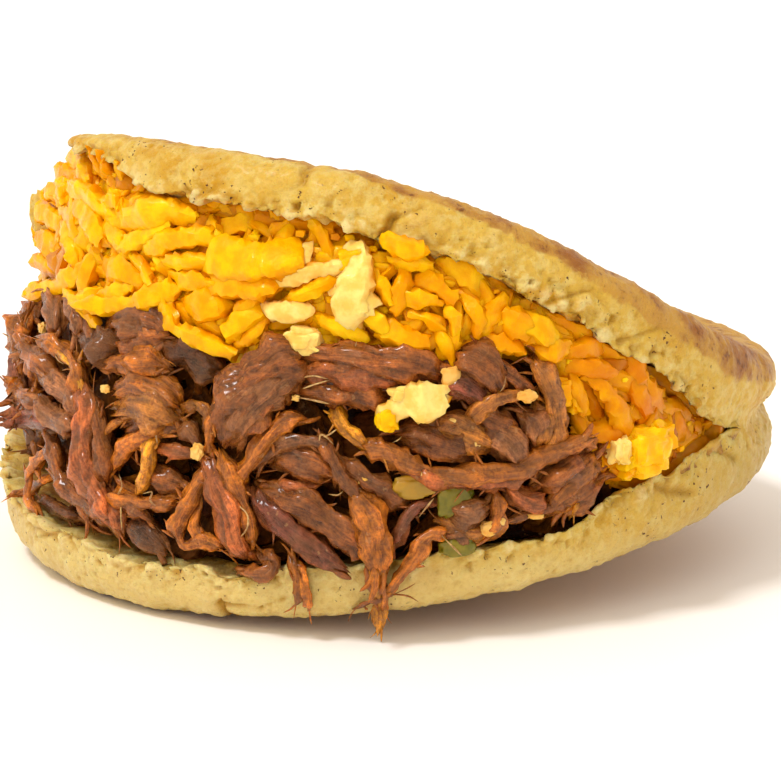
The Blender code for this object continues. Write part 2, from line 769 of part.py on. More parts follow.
def make_cheese(finish):
    """The heap of grated cheese, with the shreds that show."""
    core = fill_core(CHEESE_START, CHEESE_END, cheese_floor, no_ceiling, cheese_bulge, 23.0)
    cheese = mesh_object("shredded_cheese", core, finish)
    sizes = {"length": (8.0, 16.0), "width": (2.8, 4.0), "lean": 75.0,
             "out": (0.0, 0.9), "flat": 0.85}
    shreds = scattered(SHRED_COUNT, CHEESE_START + 4.0, CHEESE_END - 4.0, cheese_floor,
                       no_ceiling, sizes, 8)
    bodies = [strand_body(points, width, thickness, cheese_bulge, 4, 4)
              for width, thickness, points in shreds]
    theta, level, radius = CLUMP
    angle = np.array([theta])
    centre = wall_point(angle, np.array([level]), cheese_bulge(angle, np.array([level])))[0]
    outward = polar(1.0, theta + HINGE_DIRECTION, 0.0)
    bodies.append(lump_body(centre, outward, (radius * 2.0,) * 3, 1.0, 4.0))
    fuse(cheese, bodies)
    return cheese


def main():
    for old in list(bpy.data.objects):
        bpy.data.objects.remove(old)
    crumb = material("corn_bread", (0.72, 0.50, 0.19), 0.7)
    meat = material("braised_beef", (0.25, 0.09, 0.04), 0.5)
    cheddar = material("yellow_cheese", (0.92, 0.50, 0.02), 0.45)
    pepper = material("green_pepper", (0.22, 0.20, 0.03), 0.35)
    onion = material("stewed_onion", (0.42, 0.25, 0.05), 0.35)
    mesh_object("arepa", bread(), crumb)
    beef = make_beef(meat)
    make_cheese(cheddar)
    topping("cheese_crumb", CRUMB, 0.8, 2.0, beef, cheddar)
    for i, spot in enumerate(PEPPERS):
        topping(f"pepper_piece_{i + 1}", spot, 0.7, 6.0 + i, beef, pepper)
    topping("onion_piece", ONION, 0.7, 9.0, beef, onion)


main()
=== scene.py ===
"""Looks of the filled arepa: crumbly corn bread, shredded beef and grated cheese.

All forms are worked out in millimetres in the corn cake's own frame, where the middle
of the cake is the origin, and are moved into the shared frame at the end.
"""
import math
import random

import bmesh
import bpy
import numpy as np
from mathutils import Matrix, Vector, noise
from mathutils.bvhtree import BVHTree

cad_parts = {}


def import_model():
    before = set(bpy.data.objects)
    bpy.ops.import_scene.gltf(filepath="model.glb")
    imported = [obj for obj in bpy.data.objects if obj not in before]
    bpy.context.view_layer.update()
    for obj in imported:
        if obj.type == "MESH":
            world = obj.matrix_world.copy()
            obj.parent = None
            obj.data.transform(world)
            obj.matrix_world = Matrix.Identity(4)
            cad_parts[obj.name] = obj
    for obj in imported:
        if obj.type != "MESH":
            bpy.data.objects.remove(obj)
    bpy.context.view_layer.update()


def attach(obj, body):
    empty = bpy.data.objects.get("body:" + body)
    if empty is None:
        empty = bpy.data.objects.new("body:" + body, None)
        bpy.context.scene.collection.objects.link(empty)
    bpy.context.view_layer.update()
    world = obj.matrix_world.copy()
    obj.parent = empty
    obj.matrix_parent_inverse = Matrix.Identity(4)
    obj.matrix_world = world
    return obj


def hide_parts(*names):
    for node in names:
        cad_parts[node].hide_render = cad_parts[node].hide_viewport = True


MM = 0.001

# The corn cake, as in the CAD source, in millimetres and degrees
CAKE_RADIUS = 60.0
HALF_HEIGHT = 9.0
EDGE_ROUNDING = 5.0
TOP_DOME = 1.5
BELLY = 9.5
BOWL = 5.0
CHIP_DEPTH = 9.0
CHIP_AT = 193.0
CHIP_SPREAD = 14.0
CHIP_EASE = 6.0
LIP_EASE = 4.0
SEAM_HALF_WIDTH = 1.6

# Local shapes of the cake: direction, spread and rise, which is a share for BELLY_EASE
BELLY_EASE = (-35.0, 55.0, 0.85)
RIM_BULGE = (-18.0, 22.0, 2.1)
TOP_LIP = (6.0, 20.0, 1.9)
SEAM_GROOVE = (-8.0, 26.0, 1.6)
HINGE_PINCH = (18.0, 32.0, 2.2)
TOP_DIP = (240.0, 24.0, 1.1)
OFF_CENTRE_CUT = (180.0, 30.0, 4.0)
LOWER_TEARS = ((-53.0, 7.0, 2.4), (-68.0, 5.0, -0.6), (-111.0, 4.0, -0.9), (-140.0, 6.0, 0.6))
UPPER_TEARS = ((-57.0, 6.0, -1.2), (-72.0, 5.0, -0.8), (-94.0, 5.0, -0.8), (208.0, 18.0, 4.6))
CRAG = 0.45
CRAG_SIZE = 7.0
CRAG_SEED = 3.0
CRAG_LIFT = 0.3
HINGE_DIRECTION = 36.4
HINGE_REACH = 46.0
LOWER_TILT = 8.27
BEND_MIDDLE = 27.65
BEND_MOUTH = 12.3
FRONT_CURL = -0.0008
BACK_CURL = 0.009
FRONT_CURL_RUN = 30.0
BACK_CURL_RUN = 90.0
TWIST = -5.3
SLIT_END = 64.0
SLIT_EASE = 27.0
MEETING = 0.45
CROTCH_REACH = 40.0
FLOOR = -17.0
CENTRE_X = 0.8
CENTRE_Y = -2.5

# The filling, as in the CAD source
CLEARANCE = 0.45
BEEF_START = 92.0
BEEF_END = 264.0
CHEESE_START = 84.0
CHEESE_END = 284.0
BEEF_SHARE = 0.63
BEEF_DIP = (245.0, 9.0, -0.05)
BEEF_RISE = (290.0, 9.0, 0.17)
BEEF_FALL = (255.0, 12.0, -0.42)
BEEF_LEFT = (188.0, 30.0)
BEEF_OUT = 0.8
BEEF_OUT_LEFT = 0.6
BEEF_DRAW_IN = (244.0, 20.0, 2.0)
BEEF_SUNK = 0.8
BEEF_SUNK_LEFT = 0.4
BEEF_FOOT = (0.24, 0.2, 3.2)
CHEESE_LEFT = (185.0, 34.0)
CHEESE_TAIL = 290.0
CHEESE_IN = 1.2
CHEESE_IN_LEFT = 1.8
CHEESE_DRAW_IN = (270.0, 14.0, 1.5)
CHEESE_TOP = (0.8, 0.2, 1.6)

# Where the beef that the picture shows begins, and where the cheese grows narrow
BEEF_FRONT = 150.0
NARROW_END = 266.0

# How far a rounded lump of noise reaches, as a share of its size
CLOD_REACH = 0.62

# How finely the bread is meshed, and what stands for a whole face along the skin
COLUMN_STEP = 0.5
WALL_ROWS = 13
EDGE_ROWS = 12
FACE_ROWS = 18
CUT_ROW_COUNT = 20
FACE_CENTRE = 0.03
FACE_WAY = 20.0

# The torn cut edge: size and seed of each layer of noise, where the fine one is calm, the
# heights of the coarse and the fine one, and how fast they fade down the cut face
RAG_COARSE = (4.6, 7.0)
RAG_FINE = (1.9, 19.0)
RAG_PATCHES = (9.0, 29.0)
RAG_CALM = (180.0, 26.0)
RAG_HEIGHTS = (0.95, 0.45)
RAG_FADE = 45.0

# How far up the rim wall the bare crumb reaches in mm, and where it reaches further
CRUMB_DEPTH = 3.6
CRUMB_DEEPER = (300.0, 16.0, 2.4)

# The bottom of the slit, where both cut faces close: where that begins, and over what run
CLOSING = (0.7, 0.3)

# Where browning starts on the two faces' edges: direction, and mm along the skin
TOAST_STARTS = ((0.0, 6.0), (30.0, 7.5), (120.0, 8.5), (240.0, 9.6), (256.0, 8.1), (266.0, 6.8),
                (284.0, 5.5), (296.0, 4.4), (311.0, 3.7), (325.0, 3.4), (345.0, 3.4), (360.0, 4.6))
CHAR_STARTS = ((0.0, 8.0), (180.0, 9.4), (300.0, 9.4), (360.0, 8.0))
TOAST_RUN = 2.6
TOAST_WOBBLE = ((0.9, 5.0, 13.0), (0.5, 1.6, 23.0))

# The camera, which the photograph's outlines settled, in degrees, mm and picture pixels
ELEVATION = 13.75
DISTANCE = 500.0
FOCAL_PX = 3135.0
PICTURE = 781.0
AIM_X = 379.2
AIM_Y = 427.1
SENSOR = 36.0

HINGE_AXIS = np.array([math.cos(math.radians(HINGE_DIRECTION)),
                       math.sin(math.radians(HINGE_DIRECTION)), 0.0])
SIDE_AXIS = np.array([-HINGE_AXIS[1], HINGE_AXIS[0], 0.0])
UP_AXIS = np.array([0.0, 0.0, 1.0])
SHIFT = np.array([CENTRE_X, CENTRE_Y, FLOOR])
LOOK = np.array([0.0, math.cos(math.radians(ELEVATION)), -math.sin(math.radians(ELEVATION))])
RISE_OF_VIEW = np.array([0.0, -LOOK[2], LOOK[1]])
EYE = -DISTANCE * LOOK


def smooth(x):
    """Ease from 0 to 1."""
    x = np.clip(x, 0.0, 1.0)
    return x * x * (3.0 - 2.0 * x)


def off_by(angle, middle):
    """How far one direction of the plan is from another, in degrees from -180 to 180."""
    return (angle - middle + 180.0) % 360.0 - 180.0


def hump(angle, middle, spread):
    """A bell round one direction of the plan, in degrees."""
    return np.exp(-(off_by(angle, middle) / spread) ** 2)


def rise_at(angle, middle, spread, rise):
    """A rounded rise round one direction of the plan."""
    return rise * hump(angle, middle, spread)


def step(angle, middle, spread):
    """A flat-topped stretch round one direction of the plan, in degrees."""
    return np.exp(-(off_by(angle, middle) / spread) ** 4)


def unit(vectors):
    """Vectors at a length of 1."""
    return vectors / np.maximum(np.linalg.norm(vectors, axis=-1, keepdims=True), 1e-6)


def from_ends(count):
    """Steps from each place in a row to the nearer end of the row."""
    return np.minimum(np.arange(count), np.arange(count)[::-1])


def lower_place(points):
    """The lower half leans, so that its hinge side lies higher."""
    tilt = math.radians(LOWER_TILT)
    u = points @ HINGE_AXIS
    v = points @ SIDE_AXIS
    w = points[..., 2]
    along = u * math.cos(tilt) - w * math.sin(tilt)
    height = u * math.sin(tilt) + w * math.cos(tilt)
    return (along[..., None] * HINGE_AXIS + v[..., None] * SIDE_AXIS
            + height[..., None] * UP_AXIS)


def bend_angle(x):
    """Slope of the upper half at a share x of the way from the hinge to the mouth."""
    return np.radians(4.0 * BEND_MIDDLE * x * (1.0 - x) + BEND_MOUTH * x * (2.0 * x - 1.0))


def bend_table():
    """The upper half's middle line, as steps of equal length from the hinge."""
    steps = 200
    share = np.linspace(0.0, 1.0, steps + 1)
    middle = (share[:-1] + share[1:]) / 2.0
    reach = (HINGE_REACH + CAKE_RADIUS) / steps
    run = np.concatenate([[0.0], np.cumsum(np.cos(bend_angle(middle)))]) * reach
    rise = np.concatenate([[0.0], np.cumsum(np.sin(bend_angle(middle)))]) * reach
    return share, run, rise


SHARE, RUN, RISE = bend_table()


def upper_place(points):
    """The upper half bends up from the hinge and droops at the back."""
    u = points @ HINGE_AXIS
    v = points @ SIDE_AXIS
    w = points[..., 2]
    out = HINGE_REACH - u
    x = np.clip(out / (HINGE_REACH + CAKE_RADIUS), 0.0, 1.0)
    slope = bend_angle(x)
    along = -np.interp(x, SHARE, RUN) - np.minimum(out, 0.0) + w * np.sin(slope)
    height = np.interp(x, SHARE, RISE) + w * np.cos(slope)
    curl = np.where(v < 0.0, FRONT_CURL * np.clip(out / FRONT_CURL_RUN, 0.0, 1.0),
                    BACK_CURL * np.clip(out / BACK_CURL_RUN, 0.0, 1.0))
    height = height - 0.5 * curl * v * v
    height = height + v * math.tan(math.radians(TWIST)) * x
    hinge = lower_place(HINGE_REACH * HINGE_AXIS)
    return (hinge + along[..., None] * HINGE_AXIS + v[..., None] * SIDE_AXIS
            + height[..., None] * UP_AXIS)


def place(points, weight):
    """Blend between the two halves: weight 0 is the lower one, 1 the upper one."""
    weight = np.asarray(weight)[..., None]
    return (1.0 - weight) * lower_place(points) + weight * upper_place(points)


def holding(theta):
    """1 where the halves hang together, easing to 0 past each end of the slit."""
    away = np.abs(off_by(theta, 0.0))
    return smooth(1.0 - (away - SLIT_END) / SLIT_EASE)


def chip(side, phi):
    """A piece of the upper half's rim is missing at the left of the mouth."""
    away = np.abs(off_by(phi, CHIP_AT))
    return CHIP_DEPTH * smooth((CHIP_SPREAD - away) / CHIP_EASE) * (side > 0)


def rim_radius(phi, height):
    """Radius of the rim wall in one direction, at a height over the middle plane."""
    radius = CAKE_RADIUS + rise_at(phi, *RIM_BULGE)
    radius = radius + rise_at(phi, *TOP_LIP) * smooth(height / LIP_EASE)
    seam = rise_at(phi, *SEAM_GROOVE)
    return radius - seam * np.exp(-(height / SEAM_HALF_WIDTH) ** 2)


def cut_height(side, phi):
    """The knife ran higher at the left, and the edges are torn."""
    height = rise_at(phi, *OFF_CENTRE_CUT)
    for middle, spread, rise in UPPER_TEARS if side > 0 else LOWER_TEARS:
        height = height + rise * step(phi, middle, spread)
    return height


def crags(points, size, seed):
    """Smooth noise between -1 and 1 at each point."""
    flat = points.reshape(-1, 3) / size
    values = [noise.noise(Vector((p[0] + seed, p[1], p[2]))) for p in flat]
    return np.array(values).reshape(points.shape[:-1])


def roughened(value, points, layers):
    """A value with layers of noise added, each with its strength, size and seed."""
    for strength, size, seed in layers:
        value = value + strength * crags(points, size, seed)
    return value


def clods(points, size, seed):
    """Rounded lumps of about one size: 1 at a lump's middle and 0 between lumps."""
    flat = points.reshape(-1, 3) / size
    nearest = [noise.voronoi(Vector((p[0] + seed, p[1], p[2])))[0][0] for p in flat]
    values = [1.0 - min(distance / CLOD_REACH, 1.0) ** 2 for distance in nearest]
    return np.array(values).reshape(points.shape[:-1])


def polar(radius, phi, height):
    """Points of the plan, with a height."""
    angle = np.radians(phi)
    return np.stack([radius * np.cos(angle), radius * np.sin(angle),
                     height + 0.0 * angle], axis=-1)


def dome(radius):
    """Rise of the top over its edge."""
    return TOP_DOME * (1.0 - (radius / CAKE_RADIUS) ** 2)


def belly(radius, phi):
    """Sag of the underside, flatter towards the right."""
    out = np.clip(radius / (CAKE_RADIUS - EDGE_ROUNDING), 0.0, 1.0)
    ease = rise_at(phi, *BELLY_EASE) * out
    return BELLY * (1.0 - out ** 2) * (1.0 - ease)


def skin_profile():
    """Steps inward from the rim: inset, height share, share of radius, way along the skin."""
    base = 1.0 - EDGE_ROUNDING / HALF_HEIGHT
    steps = [(0.0, share, 1.0, share * HALF_HEIGHT)
             for share in np.linspace(0.0, base, WALL_ROWS)]
    for turn in np.linspace(0.0, 90.0, EDGE_ROWS)[1:]:
        inset = EDGE_ROUNDING * (1.0 - math.cos(math.radians(turn)))
        height = base + (1.0 - base) * math.sin(math.radians(turn))
        steps.append((inset, height, 1.0, base * HALF_HEIGHT + EDGE_ROUNDING * math.radians(turn)))
    for share in np.linspace(1.0, FACE_CENTRE, FACE_ROWS)[1:]:
        steps.append((EDGE_ROUNDING, 1.0, share, FACE_WAY))
    return steps


def ragged(phi, side):
    """The torn cut edge rises and falls by a crumb here and there."""
    arc = np.radians(phi) * CAKE_RADIUS
    spots = np.stack([arc, 0.0 * arc + 40.0 * side, 0.0 * arc], axis=-1)
    high, low = RAG_HEIGHTS
    fine = crags(spots, *RAG_FINE) * smooth(0.5 + 1.6 * crags(spots, *RAG_PATCHES))
    fine = fine * (1.0 - 0.9 * hump(phi, *RAG_CALM))
    height = high * crags(spots, *RAG_COARSE) + low * fine
    return height * (1.0 - holding(phi - HINGE_DIRECTION))


def toasting(side, phi, way):
    """How browned the skin is, at a way along it from the middle of the rim."""
    directions, starts = zip(*(TOAST_STARTS if side > 0 else CHAR_STARTS))
    start = np.interp(phi % 360.0, directions, starts)
    arc = np.radians(phi) * CAKE_RADIUS
    spots = np.stack([arc, 0.0 * arc + way, 0.0 * arc + 70.0 * side], axis=-1)
    return smooth((way - roughened(start, spots, TOAST_WOBBLE)) / TOAST_RUN)


def craggy(points, phi, side, share=1.0):
    """Points of the bread pushed outward or inward by large soft lumps."""
    rough = CRAG * crags(points, CRAG_SIZE, CRAG_SEED) * share
    return points + rough[..., None] * polar(np.ones_like(phi), phi, CRAG_LIFT * side)


def upper_weight(side, joined):
    """Weight of the upper half's place: the halves meet where joined is 1, and part at 0."""
    return 1.0 - (1.0 - MEETING) * joined if side > 0 else MEETING * joined


def skin_rings(side, theta):
    """Rings of the outer skin from the rim inward; side is 1 on top, -1 below."""
    phi = theta + HINGE_DIRECTION
    cut = np.where(holding(theta) < 1.0, cut_height(side, phi), 0.0)
    torn = ragged(phi, side)
    pinch = rise_at(phi, *HINGE_PINCH)
    dip = rise_at(phi, *TOP_DIP)
    rings = []
    browned = []
    crumb = []
    for inset, share, scale, way in skin_profile():
        height = share * HALF_HEIGHT
        radius = (rim_radius(phi, side * height) - chip(side, phi) - inset) * scale
        z = side * height + cut * (1.0 - share) + torn * (1.0 - share) ** 5
        if side > 0:
            z = z + dome(radius) * share ** 2 - pinch * share * scale ** 2 - dip * share ** 2
        else:
            z = z - belly(radius, phi) * share ** 2
        weight = upper_weight(side, holding(theta) * (1.0 - share) ** 2)
        rings.append(place(craggy(polar(radius, phi, z), phi, side), weight))
        browned.append(toasting(side, phi, way))
        depth = CRUMB_DEPTH + rise_at(phi, *CRUMB_DEEPER) * (side > 0)
        crumb.append(smooth(1.0 - share * HALF_HEIGHT / depth) * (1.0 - holding(theta)))
    return rings, browned, crumb


def crotch(theta):
    """The bottom of the slit, for each direction of the mouth."""
    share = (theta - SLIT_END) / (360.0 - 2.0 * SLIT_END)
    end = polar(rim_radius(SLIT_END + HINGE_DIRECTION, 0.0), SLIT_END + HINGE_DIRECTION, 0.0)
    other = polar(rim_radius(HINGE_DIRECTION - SLIT_END, 0.0), HINGE_DIRECTION - SLIT_END, 0.0)
    straight = end + share[..., None] * (other - end)
    lift = (CROTCH_REACH - end @ HINGE_AXIS) * (1.0 - (2.0 * share - 1.0) ** 2)
    return straight + lift[..., None] * HINGE_AXIS


def cut_row(side, theta, row, rough=True):
    """One row of a cut face; row 0 is the rim edge and row 1 the bottom of the slit."""
    phi = theta + HINGE_DIRECTION
    missing = chip(side, phi) if rough else 0.0
    rim = polar(rim_radius(phi, 0.0) - missing, phi, 0.0)
    points = rim + row * (crotch(theta) - rim)
    sink = 4.0 * row * (1.0 - row)
    height = cut_height(side, phi) * (1.0 - row) ** 2
    height = height + sink * (1.0 if side > 0 else -BOWL)
    if rough:
        height = height + ragged(phi, side) * math.exp(-row * RAG_FADE)
    points = points + height[..., None] * UP_AXIS
    if rough:
        points = craggy(points, phi, side, 1.0 - row)
    start, run = CLOSING
    joined = holding(theta) * (1.0 - row) ** 2 + smooth((row - start) / run)
    return place(points, upper_weight(side, np.minimum(joined, 1.0)))


def beef_share(theta):
    """Share of the gap that the beef fills from below."""
    phi = theta + HINGE_DIRECTION
    share = BEEF_SHARE + 0.0 * phi
    for shape in (BEEF_DIP, BEEF_RISE):
        share = share + rise_at(phi, *shape)
    start, run, change = BEEF_FALL
    return share + change * smooth((theta - start) / run)


def beef_bulge(theta, level):
    """How far the beef stands out past the rim, by direction and share of the gap."""
    left = hump(theta + HINGE_DIRECTION, *BEEF_LEFT)
    start, run, draw = BEEF_DRAW_IN
    out = BEEF_OUT + BEEF_OUT_LEFT * left - draw * smooth((theta - start) / run)
    height, ease, foot = BEEF_FOOT
    sunk = BEEF_SUNK + BEEF_SUNK_LEFT * left + foot * left * smooth((height - level) / ease)
    middle = 1.0 - (2.0 * level / BEEF_SHARE - 1.0) ** 2
    return out * middle - sunk


def cheese_bulge(theta, level):
    """The same for the cheese, which lies further in under the upper half."""
    left = hump(theta + HINGE_DIRECTION, *CHEESE_LEFT)
    start, run, draw = CHEESE_DRAW_IN
    out = -CHEESE_IN - CHEESE_IN_LEFT * left - draw * smooth((theta - start) / run)
    height, ease, top = CHEESE_TOP
    return out - top * smooth((level - height) / ease)


def filling_bulge(theta, level):
    """How far the filling stands out past the rim, whichever kind it is there."""
    beef = level < beef_share(theta)
    return np.where(beef, beef_bulge(theta, level), cheese_bulge(theta, level))


def cheese_floor(theta):
    """Where the beef ends, the cheese reaches down to the lower half."""
    return beef_share(theta) * (1.0 - smooth((theta - BEEF_END - 2.0) / 4.0))


def gap_point(theta, row, level, lift):
    """A point between the cut faces: level 0 is the lower one, 1 the upper one."""
    low = cut_row(-1, theta, row, rough=False)
    high = cut_row(1, theta, row, rough=False)
    rise = high - low
    length = np.linalg.norm(rise, axis=-1, keepdims=True)
    return low + rise * level[..., None] + rise / length * lift


def wall_point(theta, level, out):
    """A point on the open front of the filling, moved outward by out."""
    low = cut_row(-1, theta, 0.0, rough=False)
    high = cut_row(1, theta, 0.0, rough=False)
    outward = polar(np.ones_like(theta), theta + HINGE_DIRECTION, 0.0)
    return low + (high - low) * level[..., None] + outward * out[..., None]


def curve_through(points, count):
    """Points evenly along a smooth curve through a few given ones."""
    points = np.asarray(points, float)
    first = 2.0 * points[0] - points[1]
    last = 2.0 * points[-1] - points[-2]
    knots = np.vstack([first, points, last])
    spots = np.linspace(0.0, len(points) - 1.0, count)
    piece = np.minimum(spots.astype(int), len(points) - 2)
    t = (spots - piece)[:, None]
    p0, p1, p2, p3 = (knots[piece + i] for i in range(4))
    return 0.5 * (2.0 * p1 + (p2 - p0) * t + (2.0 * p0 - 5.0 * p1 + 4.0 * p2 - p3) * t ** 2
                  + (3.0 * p1 - p0 - 3.0 * p2 + p3) * t ** 3)


def linked(name, data):
    """A new object in the scene."""
    made = bpy.data.objects.new(name, data)
    bpy.context.scene.collection.objects.link(made)
    return made


class Heap:
    """Collects the vertices and faces of many small bodies, with their colour and grain."""

    def __init__(self):
        self.points = []
        self.faces = []
        self.tints = []
        self.grains = []
        self.count = 0

    def tube(self, rings, tint, grain):
        """A closed tube through rings of points, all with the same number of sides."""
        length, sides = rings.shape[:2]
        base = self.count
        index = base + np.arange(length * sides).reshape(length, sides)
        following = np.roll(index, -1, axis=1)
        quads = np.stack([index[:-1], following[:-1], following[1:], index[1:]], axis=-1)
        self.faces.extend(quads.reshape(-1, 4).tolist())
        self.faces.append(index[0][::-1].tolist())
        self.faces.append(index[-1].tolist())
        self.points.append(rings.reshape(-1, 3))
        self.tints.append(np.broadcast_to(tint, (length, sides, 3)).reshape(-1, 3))
        self.grains.append(np.broadcast_to(grain, (length, sides, 3)).reshape(-1, 3))
        self.count += length * sides

    def piece(self, name, finish, crisp=None):
        """The collected bodies as one object in the shared frame, with crisp edges or not."""
        points = (np.vstack(self.points) - SHIFT) * MM
        points[:, 2] = np.maximum(points[:, 2], 0.0)
        mesh = bpy.data.meshes.new(name)
        mesh.from_pydata(points.tolist(), [], self.faces)
        colour = mesh.attributes.new("tint", "FLOAT_COLOR", "POINT")
        tints = np.hstack([np.vstack(self.tints), np.ones((self.count, 1))])
        colour.data.foreach_set("color", tints.astype(np.float32).ravel())
        grain = mesh.attributes.new("grain", "FLOAT_VECTOR", "POINT")
        grain.data.foreach_set("vector", np.vstack(self.grains).astype(np.float32).ravel())
        mesh.polygons.foreach_set("use_smooth", np.ones(len(mesh.polygons), bool))
        if crisp is not None:
            mesh.set_sharp_from_angle(angle=math.radians(crisp))
        mesh.materials.append(finish)
        return linked(name, mesh)


def frames(path, outward):
    """Two directions across a path: along the surface, and away from it."""
    run = unit(np.gradient(path, axis=0))
    across = unit(np.cross(outward, run))
    upright = np.cross(run, across)
    return across, upright


def shaded(tint, path):
    """A cheese colour, darkened as painted shade towards the narrow right end of the heap, which
    lies in the upper half's shadow.
    """
    phi = math.degrees(math.atan2(path[:, 1].mean(), path[:, 0].mean())) % 360.0
    dark = float(smooth((phi - 268.0) / 46.0))
    return np.array(tint) * (1.0 - np.array((0.20, 0.40, 0.0)) * dark)


def away_from_middle(path):
    """The direction straight out of the cake at each point of a path."""
    return unit(path * np.array([1.0, 1.0, 0.0]) + np.array([0.0, 0.0, 1e-6]))


def path_length(path):
    """Length along a path."""
    return float(np.linalg.norm(np.diff(path, axis=0), axis=1).sum())


def wander(count, step_length, size, height, seed):
    """A smooth random line: one value for each point of a path."""
    return np.array([height * noise.noise(Vector((i * step_length / size, seed, 0.5 * seed)))
                     for i in range(count)])


# Linear colours of the beef, of its thin edges, and of the cheese; the edge colour is partly the
# meat's own orange and partly a painted glow of light through thin edges
# Of these, dark is painted shade: it colours pieces sunk in gaps and under the cheese
BEEF = {"brown": (0.195, 0.049, 0.006), "orange": (0.37, 0.098, 0.004),
        "purple": (0.140, 0.028, 0.014), "grey": (0.210, 0.070, 0.020),
        "dark": (0.045, 0.010, 0.002), "gold": (0.62, 0.23, 0.005),
        "pink": (0.285, 0.064, 0.012), "tan": (0.34, 0.110, 0.010)}
EDGE_COLOUR = np.array((0.37, 0.105, 0.005))

# How finely the beef is meshed along and round each piece, and how far apart its hairs are
MEAT_SPACING = 0.7
MEAT_SIDE = 0.55
HAIR_SPACING = 4.5

CHEESE = {"deep": (0.90, 0.385, 0.0010), "mid": (0.95, 0.46, 0.0012), "light": (0.97, 0.53, 0.003),
          "pale": (0.96, 0.66, 0.15), "shade": (0.62, 0.225, 0.0006)}
# Painted shade: the deeper orange of the flanks and back of each shred, where shreds shade one
# another
CHEESE_FLANK_SHADE = np.array((0.74, 0.275, 0.0006))


def fibre(heap, path, outward, radius, tint, seed, sides):
    """One round fibre along a path, thinner at both ends and a little uneven."""
    count = len(path)
    across, upright = frames(path, outward)
    share = np.linspace(0.0, 1.0, count)
    step_length = path_length(path) / max(count - 1, 1)
    end = np.minimum(share, 1.0 - share) * (count - 1) * step_length
    taper = np.sqrt(np.clip(end / (2.2 * radius + 1.2), 0.004, 1.0))
    size = radius * taper * (1.0 + wander(count, step_length, 3.0, 0.55, seed))
    turn = 2.0 * np.pi * np.arange(sides) / sides
    rings = (path[:, None] + (np.cos(turn) * size[:, None])[..., None] * across[:, None]
             + (np.sin(turn) * size[:, None])[..., None] * upright[:, None])
    along = np.arange(count)[:, None] * step_length + seed * 7.3
    grain = np.stack([np.broadcast_to(along, (count, sides)),
                      np.broadcast_to(radius * np.cos(turn) + seed * 3.1, (count, sides)),
                      np.broadcast_to(radius * np.sin(turn), (count, sides))], axis=-1)
    heap.tube(rings, tint, grain)


